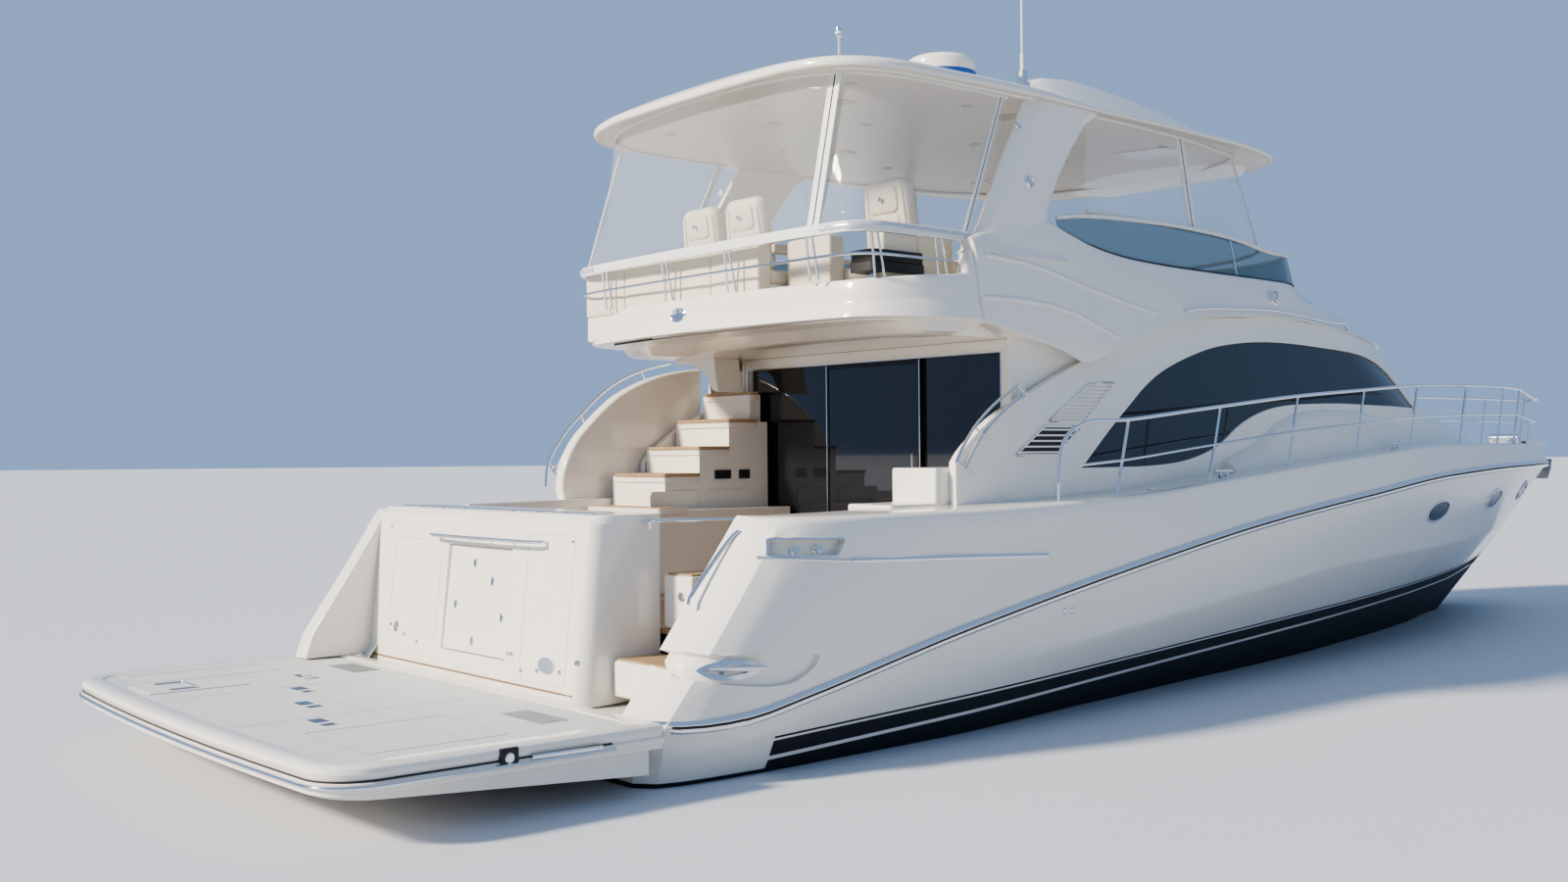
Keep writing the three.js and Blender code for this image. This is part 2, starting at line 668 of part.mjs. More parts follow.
// The outline moved inwards by a distance, for one that runs counter-clockwise.
function inset(outline, distance) {
  return outline.map((p, i) => {
    const before = outline[(i + outline.length - 1) % outline.length];
    const after = outline[(i + 1) % outline.length];
    const in1 = new THREE.Vector2(before[1] - p[1], p[0] - before[0]).normalize();
    const in2 = new THREE.Vector2(p[1] - after[1], after[0] - p[0]).normalize();
    const scale = distance / (1 + in1.dot(in2));
    return [p[0] + (in1.x + in2.x) * scale, p[1] + (in1.y + in2.y) * scale];
  });
}

function sideWindow(shrink) {
  const outline = inset(windowLine, shrink);
  return join(sidePlate(outline, 900, 2400), sidePlate(outline, -2400, -900));
}

const belowArchLine = archLine.map(([y, z]) => [y, z - gap]);
const aboveArch = sidePlate([...belowArchLine, [3400, 4000], [-4660, 4000]], -2600, 2600);

const screen = { lowX: 1780, lowZ: 2520, highX: 1640, highZ: 3030 };

// The windscreen's opening, wider below than above, with its outline drawn in by a margin.
function screenHole(margin) {
  const outline = (y) => bothSides([
    [0, y, screen.lowZ + margin], [screen.lowX - margin, y, screen.lowZ + margin],
    [screen.highX - margin, y, screen.highZ - margin], [0, y, screen.highZ - margin],
  ]);
  return loft([outline(1500), outline(5000)]);
}

const houseInner = houseLoft(houseWall, -100, -10, 10);
const shell = cut(houseLoft(0, 0), houseInner, block(-1800, 1800, -5000, -3000, 0, 4000));
const linerEndY = -2600;
const liner = houseLoft(houseWall / 2, 0).intersect(block(-2100, 2100, bulkheadY, linerEndY, 0, 2950));
const shellClear = cut(shell, cut(aboveArch, liner), bridgeDropped, deckGrown, hullGrown,
  block(-2100, 2100, -4700, wellFrontY, 0, soleTop),
  block(-saloonInner - 20, saloonInner + 20, -4700, wellFrontY + 400, 0, 2300));
add('house', cut(shellClear, sideWindow(0), screenHole(0)), 'gelcoat');
const glassShell = cut(houseLoft(20, 0), houseLoft(40, -100, -10, 10));
const glassBand = glassShell.intersect(sideWindow(1));
const starboardHalf = block(1, 3000, -5000, 6000, 0, 4000);
pair('side_glass', cut(glassBand, deckGrown).intersect(starboardHalf), 'darkGlass');
add('windscreen', cut(glassShell.intersect(screenHole(1)), sideWindow(0)), 'darkGlass');

// Aft bulkhead with its glass and the sliding door
const opening = { x0: -1405, x1: 1765, z0: soleTop + 15 };
const stairGap = { x0: -2100, x1: -1450 };
const bulkheadEdge = [
  [saloonInner - gap, soleTop + gap], [saloonInner - gap, 1850], [1962, 1850], [1957, 2450], [1905, 2949],
];
const bulkheadOutline = [...bulkheadEdge, ...bulkheadEdge.map(([x, z]) => [-x, z]).reverse()];
add('aft_bulkhead', cut(
  endPlate(bulkheadOutline, bulkheadY, bulkheadY + bulkheadThick),
  bridgeDropped,
  block(opening.x0, opening.x1, bulkheadY - 50, bulkheadY + 200, opening.z0, doorTop),
  block(stairGap.x0, stairGap.x1, bulkheadY - 50, bulkheadY + 200, 0, 3000),
), 'gelcoat');

function pane(x0, x1, y0) {
  return block(x0, x1, y0, y0 + 20, opening.z0 + gap, doorTop - gap);
}

add('fixed_pane_port', pane(opening.x0 + gap, -330, bulkheadY + 60), 'darkGlass');
add('fixed_pane_stbd', pane(840, opening.x1 - gap, bulkheadY + 60), 'darkGlass');
add('sliding_door', cut(
  block(-318, 852, bulkheadY + 20, bulkheadY + 52, opening.z0 + gap, doorTop - gap),
  block(-288, 822, bulkheadY, bulkheadY + 80, opening.z0 + 40, doorTop - 40),
), 'steel');
add('door_glass', block(-288 + gap, 822 - gap, bulkheadY + 26, bulkheadY + 46,
  opening.z0 + 40 + gap, doorTop - 40 - gap), 'darkGlass');

// Saloon furniture
add('saloon_sofa', join(
  block(-1880, -1150, -3100, -600, soleTop + gap, 1320),
  block(-1880, -1620, -3100, -600, 1300, 1700),
), 'upholstery');
add('galley_unit', block(1250, 1880, -3000, -300, soleTop + gap, 1790), 'gelcoat');
add('lower_helm', join(
  block(-1600, 1600, 1400, 2190, soleTop + gap, 1750),
  block(300, 1200, 1300, 1500, 1700, 1950),
), 'upholstery');

// Flybridge
const stairwell = block(-1880, -1480, -4900, landing.endY - stairWall - 1, 2700, 3300);
add('flybridge', cut(bridge, stairwell), 'gelcoat');
const screenPath = [];
const screenRows = [
  [-3290, 1898, 3850, 3935], [-2900, 1888, 3752, 3990], [-2300, 1873, 3682, 4025], [-1600, 1858, 3662, 4040],
  [-690, 1838, 3657, 4010], [130, 1780, 3657, 3930],
];
for (const [y, x, lowZ, highZ] of screenRows) screenPath.push({ x, y, lowZ, highZ });
for (let i = 1; i <= 8; i += 1) {
  const angle = (i / 8) * (Math.PI / 2);
  const x = 1780 * Math.cos(angle);
  const along = Math.sin(angle);
  screenPath.push({ x: x < 1 ? 0 : x, y: 130 + 1150 * along, lowZ: 3657, highZ: 3930 + 40 * along });
}

// A thin upright wall along a path that is mirrored at the centreline; lean moves its top inwards.
function ribbon(path, thick, lean, lift = 0) {
  const whole = [...path, ...path.filter((p) => p.x > 0).map((p) => ({ ...p, x: -p.x })).reverse()];
  return loft(whole.map((p, i) => {
    const before = whole[Math.max(i - 1, 0)];
    const after = whole[Math.min(i + 1, whole.length - 1)];
    const along = new THREE.Vector2(after.x - before.x, after.y - before.y).normalize();
    const inX = -along.y;
    const inY = along.x;
    const at = (depth, z) => [p.x + inX * depth, p.y + inY * depth, z + lift];
    return [at(0, p.lowZ), at(thick, p.lowZ), at(thick + lean, p.highZ), at(lean, p.highZ)];
  }));
}

add('bridge_windscreen', cut(ribbon(screenPath, 12, 70), bridge.translate([0, 0, gap])), 'tint');

const consoleX = { low: 200, high: 1600 };
const consoleProfile = [
  [-3050, bridgeFloorTop + gap], [-2450, bridgeFloorTop + gap], [-2450, 3690], [-2750, 3740], [-3000, 3580],
];
const wheelCentre = new THREE.Vector3(950, -3130, 3640);
const wheelTilt = 1.05;
const hubLength = 62;
const hubLine = new THREE.Vector3(0, Math.sin(wheelTilt), -Math.cos(wheelTilt));
const bossStart = wheelCentre.clone().addScaledVector(hubLine, hubLength + gap).toArray();
const bossEnd = wheelCentre.clone().addScaledVector(hubLine, 160).toArray();
const consoleBody = sidePlate(consoleProfile, consoleX.low, consoleX.high);
add('helm_console', join(consoleBody, rod(bossStart, bossEnd, 34, 12)), 'gelcoat');

function wheelSolid() {
  const ring = new THREE.TorusGeometry(190, 16, 6, 20);
  const parts = [toSolid(ring)];
  for (let i = 0; i < 3; i += 1) {
    const angle = Math.PI / 2 + (i * Math.PI * 2) / 3;
    parts.push(rod([0, 0, 0], [190 * Math.cos(angle), 190 * Math.sin(angle), 0], 10, 6));
  }
  parts.push(rod([0, 0, -14], [0, 0, hubLength], 28, 12));
  return join(...parts);
}

const wheelGroup = new THREE.Group();
wheelGroup.position.copy(wheelCentre);
wheelGroup.rotation.x = wheelTilt;
yacht.add(wheelGroup);
add('helm_wheel', wheelSolid().rotate([180, 0, 0]), 'rubber', wheelGroup);

function helmSeat() {
  return join(
    block(-270, 270, -280, 250, 480, 600),
    sidePlate([[-200, 560], [-260, 600], [-400, 1180], [-290, 1200], [-150, 620]], -250, 250),
    block(-300, -240, -230, 150, 600, 760),
    block(240, 300, -230, 150, 600, 760),
    rod([0, -20, gap], [0, -20, 500], 70, 12),
    rod([0, -20, gap], [0, -20, 30], 190, 16),
  );
}

const seatPlaces = { port: [-1120, -4270], centre: [-450, -4300], stbd: [950, -3950] };
for (const [side, [x, y]] of Object.entries(seatPlaces)) {
  const seat = new THREE.Group();
  seat.position.set(x, y, bridgeFloorTop);
  yacht.add(seat);
  add('helm_seat_' + side, helmSeat(), 'upholstery', seat);
}
add('bridge_lounge', join(
  block(-1380, 1700, -5200, -5060, bridgeFloorTop + gap, 3480),
  block(-1380, 700, -5061, -4930, bridgeFloorTop + gap, 3500),
  block(-1380, 700, -5200, -5060, 3470, 3740),
  block(1100, 1700, -5061, -4300, bridgeFloorTop + gap, 3480),
  block(1100, 1700, -5200, -5090, 3470, 3700),
), 'upholstery');
add('bridge_settee', join(
  block(-1300, 1300, -900, 150, bridgeFloorTop + gap, 3480),
  block(-1300, 1300, 0, 150, 3470, 3760),
), 'upholstery');

// Aft rail of the bridge
const railRows = [[3670, 15], [3500, 11]];
const railPlan = [
  [1890, -4300], [1880, -4900], [1790, -5330], [1450, -5520], [800, -5640], [0, -5680],
  [-800, -5640], [-1450, -5520], [-1790, -5330], [-1880, -4900], [-1890, -4300],
];
const postPlan = [[1885, -4560], [1880, -5000], [1640, -5440], [1100, -5590], [0, -5680]];
const bridgeRail = join(
  ...railRows.map(([z, radius]) => tube(railPlan.map(([x, y]) => [x, y + 60, z]), radius, 24, 5)),
  ...postPlan.flatMap(([x, y]) => (x > 0 ? [1, -1] : [1]).map((side) => rod(
    [side * x, y + 60, 3335 + gap], [side * x, y + 60, 3670], 12, 5))),
);
add('bridge_rail', cut(bridgeRail, bridge.translate([0, 0, gap]), bridge), 'steel');

// Hardtop on its two arch legs
const roof = roofSolid();
add('hardtop', roof, 'gelcoat');
const legProfile = [
  [-4350, 3560], [-4250, 3720], [-4040, 4250], [-3860, 4900], [-2760, 4900], [-2900, 4700], [-3260, 4200],
  [-3440, 3560],
];
const leg = loft([
  legProfile.map(([y, z]) => [1840 - (z - 3600) * 0.03, y, z]),
  legProfile.map(([y, z]) => [1960 - (z - 3600) * 0.09, y, z]),
]);
const legSeat = [bridge.translate([0, 0, clearance]), bridge, roof.translate([0, 0, -gap])];
add('arch_leg_stbd', cut(leg, ...legSeat), 'gelcoat');
add('arch_leg_port', cut(mirror(leg), ...legSeat), 'gelcoat');

// Clear side curtains: aft ones from leg to leg round the stern, forward ones round the front
const curtainThick = 6;
const curtainLean = 110;
const aftCurtain = [
  { x: 1800, y: -4380, lowZ: 3690, highZ: 4950 },
  { x: 1790, y: -5100, lowZ: 3690, highZ: 4950 },
  { x: 1640, y: -5400, lowZ: 3690, highZ: 4960 },
  { x: 1300, y: -5500, lowZ: 3690, highZ: 4970 },
  { x: 0, y: -5590, lowZ: 3690, highZ: 5000 },
];
const hardtopDropped = roof.translate([0, 0, -gap]);
add('curtain_aft', cut(
  ribbon(aftCurtain, -curtainThick, -curtainLean),
  hardtopDropped,
  bridge.translate([0, 0, gap]),
), 'vinyl');
const foreCurtain = [
  { x: 1790, y: -2800, lowZ: 4060, highZ: 4930 },
  { x: 1760, y: -1600, lowZ: 4060, highZ: 4930 },
  { x: 1640, y: -300, lowZ: 4020, highZ: 4935 },
];
for (let i = 1; i <= 6; i += 1) {
  const angle = (i / 6) * (Math.PI / 2);
  const x = 1640 * Math.cos(angle);
  const lift = Math.sin(angle);
  foreCurtain.push({ x: x < 1 ? 0 : x, y: -300 + 1250 * lift, lowZ: 4010, highZ: 4935 + 75 * lift });
}
add('curtain_fore', cut(ribbon(foreCurtain, curtainThick, 0), hardtopDropped), 'vinyl');

// Masthead gear
const radarProfile = [
  [0, 5080], [150, 5080], [110, 5380], [110, 5400],
  [300, 5410], [330, 5460], [330, 5600], [290, 5670], [160, 5700],
  [0, 5705],
];
const radar = new THREE.LatheGeometry(radarProfile.map(([r, z]) => new THREE.Vector2(r, z)), 24);
radar.rotateX(Math.PI / 2);
radar.translate(0, -2650, 0);
add('radar_dome', cut(toSolid(radar), roof.translate([0, 0, gap])), 'gelcoat');
add('mast_light', cut(join(
  rod([0, -3930, 5100], [0, -3930, 5740], 14),
  rod([0, -3930, 5700], [0, -3930, 5800], 32, 12),
), roof.translate([0, 0, gap])), 'steel');
const whip = { x: 1500, y: -3250, z: 5190 };
add('antenna_base', cut(join(
  block(whip.x - 45, whip.x + 45, whip.y - 45, whip.y + 45, 4990, 5120),
  block(whip.x - 35, whip.x - 18, whip.y - 25, whip.y + 25, 5100, 5215),
  block(whip.x + 18, whip.x + 35, whip.y - 25, whip.y + 25, 5100, 5215),
), roof.translate([0, 0, gap])), 'steel');
add('whip_antenna', join(
  rod([whip.x, whip.y, whip.z - 25], [whip.x, whip.y, whip.z + 160], 16, 10),
  rod([whip.x, whip.y, whip.z + 150], [whip.x, whip.y, whip.z + 2350], 9, 8),
  rod([whip.x - 17.6, whip.y, whip.z], [whip.x + 17.6, whip.y, whip.z], 14, 12),
), 'gelcoat');

// Bow rail: y, half breadth and height of the top tube
const railStations = [
  [-3830, 2310, 1800], [-3760, 2310, 2130], [-3560, 2320, 2270], [-3000, 2350, 2310], [-1770, 2370, 2430],
  [-560, 2370, 2540], [650, 2340, 2620], [1800, 2280, 2690], [3200, 2110, 2730], [4800, 1780, 2760],
  [6300, 1300, 2780], [7600, 800, 2780], [8900, 330, 2760], [9500, 130, 2745], [9620, 0, 2740],
];
const topRail = [...railStations, ...railStations.slice(0, -1).map(([y, x, z]) => [y, -x, z]).reverse()]
  .map(([y, x, z]) => [x, y, z]);
const midStations = railStations.slice(2);
const midRail = [...midStations, ...midStations.slice(0, -1).map(([y, x, z]) => [y, -x, z]).reverse()]
  .map(([y, x, z]) => [x, y - 70, z - 320]);
const posts = railStations.slice(3, -2);
const bowRail = join(
  tube(topRail, railTube, 44, 5),
  tube(midRail, 10, 40, 5),
  ...posts.flatMap(([y, x, z]) => [1, -1].map((side) => rod(
    [side * (x - 8), y - 200, z - 780], [side * x, y, z], 12, 5))),
  ...[1, -1].map((side) => rod([side * 2310, -3830, 1640], [side * 2310, -3830, 1810], railTube, 5)),
);
add('bow_rail', cut(bowRail, deckGrown, block(-2600, 2600, -5000, 10000, 1000, 1690)), 'steel');

// Foredeck lids and ground tackle
add('anchor_locker_lid', block(-324, 324, 7906, 8594, 2100, 2125), 'gelcoat');
const hatchSlab = trunkSolid().translate([0, 0, 30]).intersect(block(-310, 310, 5240, 5860, 2150, 2400));
add('foredeck_hatch', cut(hatchSlab, trunkSolid().translate([0, 0, gap])), 'tint');
add('windlass', cut(join(
  block(-120, 120, 8660, 8900, 2050, 2200),
  rod([-200, 8780, 2190], [200, 8780, 2190], 70, 14),
), deckGrown), 'steel');
add('anchor_roller', cut(join(
  block(-90, 90, 8950, 9560, 2060, 2105),
  block(-90, -60, 9300, 9900, 2060, 2170),
  block(60, 90, 9300, 9900, 2060, 2170),
  block(-90, 90, 9560, 9760, 2060, 2100),
), deckGrown), 'steel');
const shankProfile = [
  [9230, 2105 + gap], [9230, 2150], [9800, 2150], [9990, 1900], [9960, 1850], [9780, 2105 + gap],
];
const flukeProfile = [[9940, 1840], [9990, 1890], [9960, 1740], [9840, 1600], [9850, 1720]];
add('anchor', join(
  sidePlate(shankProfile, -14, 14),
  sidePlate(flukeProfile, -130, 130),
), 'steel');

// Engines, shafts, propellers, rudders and tabs
pair('engine', block(shaftX - 380, shaftX + 380, -5500, -3500, -250 + gap, 700), 'engine');

function screwSolid(side) {
  const parts = [
    rod(onShaft(side, -120), onShaft(side, 2600), shaftRadius, 24),
    rod(onShaft(side, -90), onShaft(side, 90), 75, 16),
  ];
  const blade = new THREE.Shape([
    [-50, 40], [50, 40], [150, 200], [110, 320], [0, propRadius], [-110, 320], [-150, 200],
  ].map(([across, out]) => new THREE.Vector2(across, out)));
  for (let i = 0; i < 4; i += 1) {
    const geometry = new THREE.ExtrudeGeometry(blade, { depth: 16, bevelEnabled: false });
    geometry.translate(0, 0, -8);
    geometry.rotateY(side * 0.6);
    geometry.rotateX(Math.PI / 2);
    geometry.rotateY((i * Math.PI) / 2);
    geometry.rotateX(shaftTilt);
    geometry.translate(side * shaftX, propY, propZ);
    parts.push(toSolid(geometry));
  }
  return join(...parts);
}

add('propeller_stbd', screwSolid(1), 'bronze');
add('propeller_port', screwSolid(-1), 'bronze');

function strutSolid(side) {
  const at = onShaft(side, 330);
  const arm = block(at[0] - 16, at[0] + 16, at[1] - 70, at[1] + 70, at[2] + 30, -300);
  const boss = rod(onShaft(side, 230), onShaft(side, 430), 62, 16);
  const bore = rod(onShaft(side, 100), onShaft(side, 600), shaftRadius + 0.55, 24);
  return cut(join(arm, boss), bore, hullSolid(gap).translate([0, 0, -gap]));
}

add('shaft_strut_stbd', strutSolid(1), 'bronze');
add('shaft_strut_port', strutSolid(-1), 'bronze');

function rudderSolid(side) {
  const x = side * shaftX;
  const outline = [[-8, -300], [8, -300], [28, -20], [20, 110], [0, 150], [-20, 110], [-28, -20]]
    .map(([across, along]) => [x + across, rudderY + along]);
  const blade = plate(outline, -1250, -565);
  return join(blade, rod([x, rudderY, -700], [x, rudderY, -200], 30, 24));
}

add('rudder_stbd', rudderSolid(1), 'bronze');
add('rudder_port', rudderSolid(-1), 'bronze');
const tabTilt = 0.303;
for (const [name, side] of [['trim_tab_stbd', 1], ['trim_tab_port', -1]]) {
  const tab = new THREE.Group();
  tab.position.set(side * tabHinge.x, tabHinge.y, tabHinge.z);
  tab.rotation.y = -side * tabTilt;
  yacht.add(tab);
  add(name, block(-380, 380, -300, 0, 0, 12), 'steel', tab);
}

export default yacht;
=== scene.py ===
import json
import math

import bmesh
import bpy
import numpy as np
from mathutils import Matrix, Vector
from mathutils.geometry import delaunay_2d_cdt


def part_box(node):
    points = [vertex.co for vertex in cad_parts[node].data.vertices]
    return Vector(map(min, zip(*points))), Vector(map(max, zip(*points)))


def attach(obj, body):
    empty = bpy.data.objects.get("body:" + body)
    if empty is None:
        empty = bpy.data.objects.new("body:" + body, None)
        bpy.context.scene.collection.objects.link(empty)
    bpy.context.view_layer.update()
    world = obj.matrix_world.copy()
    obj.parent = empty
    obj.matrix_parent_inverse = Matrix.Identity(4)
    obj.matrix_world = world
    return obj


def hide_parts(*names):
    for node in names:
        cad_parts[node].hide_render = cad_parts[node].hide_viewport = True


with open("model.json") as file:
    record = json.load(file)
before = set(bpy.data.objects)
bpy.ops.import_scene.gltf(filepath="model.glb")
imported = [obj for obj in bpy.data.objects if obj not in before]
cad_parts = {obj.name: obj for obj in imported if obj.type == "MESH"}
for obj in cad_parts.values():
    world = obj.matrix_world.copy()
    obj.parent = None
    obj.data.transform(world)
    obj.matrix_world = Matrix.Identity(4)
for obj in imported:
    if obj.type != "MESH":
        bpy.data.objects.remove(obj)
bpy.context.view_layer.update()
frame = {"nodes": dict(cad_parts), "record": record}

# Camera: place and aim solved from the photograph's own lines
camera = {"place": (9.706, -12.794, 2.066), "yaw": 0.8695, "pitch": 0.0082, "roll": 0.0087, "lens": 34.558}


def newObject(name, data):
    obj = bpy.data.objects.new(name, data)
    bpy.context.scene.collection.objects.link(obj)
    return obj


def makeCamera():
    data = bpy.data.cameras.new("photoCamera")
    data.lens = camera["lens"]
    data.sensor_width = 36
    data.clip_end = 300
    obj = newObject("photoCamera", data)
    level = Matrix.Rotation(math.pi / 2 + camera["pitch"], 4, "X")
    turn = Matrix.Rotation(camera["yaw"], 4, "Z")
    lean = Matrix.Rotation(-camera["roll"], 4, "Z")
    obj.matrix_world = Matrix.Translation(camera["place"]) @ turn @ level @ lean
    bpy.context.scene.camera = obj


makeCamera()
print("camera placed")

# Shader groups shared by several materials


def makeGroup(name, inputs, outputs):
    group = bpy.data.node_groups.new(name, "ShaderNodeTree")
    for label, value in inputs.items():
        kind = "NodeSocketColor" if isinstance(value, tuple) else "NodeSocketFloat"
        socket = group.interface.new_socket(name=label, in_out="INPUT", socket_type=kind)
        socket.default_value = value
    for label, kind in outputs.items():
        group.interface.new_socket(name=label, in_out="OUTPUT", socket_type=kind)
    source = group.nodes.new("NodeGroupInput")
    target = group.nodes.new("NodeGroupOutput")
    return group, source, target


def addNode(tree, kind, values=(), **settings):
    node = tree.nodes.new(kind)
    for key, value in settings.items():
        setattr(node, key, value)
    for key, value in dict(values).items():
        node.inputs[key].default_value = value
    return node


def feed(value, target, entry):  # a link where the value is a socket, else the plain value
    if isinstance(value, bpy.types.NodeSocket):
        target.id_data.links.new(value, target.inputs[entry])
    else:
        target.inputs[entry].default_value = value


def wire(source, output, target, entry):
    feed(source.outputs[output], target, entry)


def mixColour(tree, factor, first, second):
    node = addNode(tree, "ShaderNodeMix", data_type="RGBA")
    for entry, value in ((0, factor), (6, first), (7, second)):
        feed(value, node, entry)
    return node.outputs[2]


def doMath(tree, operation, *values):
    node = addNode(tree, "ShaderNodeMath", operation=operation)
    for entry, value in enumerate(values):
        feed(value, node, entry)
    return node.outputs[0]


def objectPlace(tree):  # the object's own coordinates, whole and split into x, y and z
    whole = addNode(tree, "ShaderNodeTexCoord")
    parts = addNode(tree, "ShaderNodeSeparateXYZ")
    wire(whole, "Object", parts, 0)
    return whole, parts


def weatherGroup():  # soft uneven ageing: a large cloud and a fine speckle over the colour
    group, source, target = makeGroup(
        "weather",
        {"Colour": (0.8, 0.8, 0.8, 1), "Stain": (0.6, 0.55, 0.45, 1), "Amount": 0.2, "Scale": 1.5,
         "Roughness": 0.2, "Spread": 0.1},
        {"Colour": "NodeSocketColor", "Roughness": "NodeSocketFloat"})
    place = addNode(group, "ShaderNodeTexCoord")
    cloud = addNode(group, "ShaderNodeTexNoise", {"Detail": 6.0, "Roughness": 0.6})
    fine = addNode(group, "ShaderNodeTexNoise", {"Scale": 45.0, "Detail": 3.0})
    wire(place, "Object", cloud, "Vector")
    wire(place, "Object", fine, "Vector")
    wire(source, "Scale", cloud, "Scale")
    both = doMath(group, "MULTIPLY", cloud.outputs["Fac"], fine.outputs["Fac"])
    strength = doMath(group, "MULTIPLY", both, source.outputs["Amount"])
    colour = mixColour(group, strength, source.outputs["Colour"], source.outputs["Stain"])
    swing = doMath(group, "MULTIPLY", doMath(group, "SUBTRACT", cloud.outputs["Fac"], 0.5),
                   source.outputs["Spread"])
    feed(colour, target, "Colour")
    feed(doMath(group, "ADD", source.outputs["Roughness"], swing), target, "Roughness")
    return group


def grainGroup():  # fine leather or moulded grain as a height
    group, source, target = makeGroup("grain", {"Scale": 300.0, "Soft": 0.5}, {"Height": "NodeSocketFloat"})
    place = addNode(group, "ShaderNodeTexCoord")
    cells = addNode(group, "ShaderNodeTexVoronoi", feature="SMOOTH_F1")
    noise = addNode(group, "ShaderNodeTexNoise", {"Detail": 4.0})
    for node in (cells, noise):
        wire(place, "Object", node, "Vector")
        wire(source, "Scale", node, "Scale")
    mixed = doMath(group, "ADD", doMath(group, "MULTIPLY", noise.outputs["Fac"], source.outputs["Soft"]),
                   cells.outputs["Distance"])
    feed(mixed, target, "Height")
    return group


weather = weatherGroup()
grain = grainGroup()


def newMaterial(name, colour, rough=0.4, metal=0.0, **more):
    made = bpy.data.materials.new(name)
    made.use_nodes = True
    shader = made.node_tree.nodes["Principled BSDF"]
    shader.inputs["Base Color"].default_value = (*colour, 1)
    shader.inputs["Roughness"].default_value = rough
    shader.inputs["Metallic"].default_value = metal
    for key, value in more.items():
        shader.inputs[key.replace("_", " ")].default_value = value
    return made, made.node_tree, shader


def useWeather(tree, shader, colour, stain, amount, scale, rough, spread):
    values = {"Colour": (*colour, 1), "Stain": (*stain, 1), "Amount": amount, "Scale": scale,
              "Roughness": rough, "Spread": spread}
    node = addNode(tree, "ShaderNodeGroup", node_tree=weather)
    for entry, value in values.items():
        feed(value, node, entry)
    wire(node, "Colour", shader, "Base Color")
    wire(node, "Roughness", shader, "Roughness")
    return node


def useGrain(tree, shader, scale, depth):
    node = addNode(tree, "ShaderNodeGroup", {"Scale": scale, "Soft": 0.5}, node_tree=grain)
    bump = addNode(tree, "ShaderNodeBump", {"Strength": 1.0, "Distance": depth})
    wire(node, "Height", bump, "Height")
    wire(bump, "Normal", shader, "Normal")


gelcoatLook = {"colour": (0.87, 0.825, 0.745), "stain": (0.62, 0.56, 0.45), "rough": 0.16, "coat": 0.35}


def makeFinish(name, colour, rough, stain, amount=0.5, scale=6.0, spread=0.15, metal=0.0, grainScale=0.0,
               depth=0.0008, **more):  # an aged surface, with a fine grain where a scale is given
    made, tree, shader = newMaterial(name, colour, rough, metal, **more)
    useWeather(tree, shader, colour, stain, amount, scale, rough, spread)
    if grainScale:
        useGrain(tree, shader, grainScale, depth)
    return made


hullLook = {
    "stripeEndY": -6.61, "stripeRise": 0.04,  # where the stripe ends aft, and its rise per metre
    "dark": (0.008, 0.009, 0.011, 1), "bareAbove": 0.03, "coat": 0.4, "darkRough": 0.55, "cleanRough": 0.41,
    "bands": [(0.0, "antifoul"), (0.350, "white"), (0.378, "black"), (0.482, "white"), (0.497, "black"),
              (0.515, "gelcoat")],
}


def makeHullPaint():
    made, tree, shader = newMaterial("hullPaint", gelcoatLook["colour"], 0.14, Coat_Weight=0.4,
                                     Coat_Roughness=0.05)
    node = useWeather(tree, shader, gelcoatLook["colour"], gelcoatLook["stain"], 0.35, 0.7, 0.14, 0.1)
    _, parts = objectPlace(tree)
    level = doMath(tree, "SUBTRACT", parts.outputs["Z"], doMath(tree, "MULTIPLY", parts.outputs["Y"],
                                                                hullLook["stripeRise"]))
    ramp = addNode(tree, "ShaderNodeValToRGB")
    ramp.color_ramp.interpolation = "CONSTANT"
    shades = {"antifoul": 0.0, "white": 1.0, "black": 0.0, "gelcoat": 1.0}
    points = ramp.color_ramp.elements
    for start, shade in hullLook["bands"]:
        point = points[0] if start == 0.0 else points.new(start)
        point.color = (shades[shade],) * 3 + (1,)
    points.remove(points[-1])
    feed(level, ramp, 0)
    aft = doMath(tree, "LESS_THAN", parts.outputs["Y"], hullLook["stripeEndY"])
    above = doMath(tree, "GREATER_THAN", parts.outputs["Z"], hullLook["bareAbove"])
    bare = doMath(tree, "MULTIPLY", aft, above)
    clean = doMath(tree, "MAXIMUM", ramp.outputs["Color"], bare)
    colour = mixColour(tree, clean, hullLook["dark"], node.outputs["Colour"])
    feed(colour, shader, "Base Color")
    feed(doMath(tree, "MULTIPLY", clean, hullLook["coat"]), shader, "Coat Weight")
    smoother = doMath(tree, "MULTIPLY", clean, hullLook["cleanRough"])
    feed(doMath(tree, "SUBTRACT", hullLook["darkRough"], smoother), shader, "Roughness")
    return made


teakLook = {"plank": 0.052, "caulk": 0.09, "light": (0.52, 0.36, 0.21), "dark": (0.33, 0.2, 0.1)}


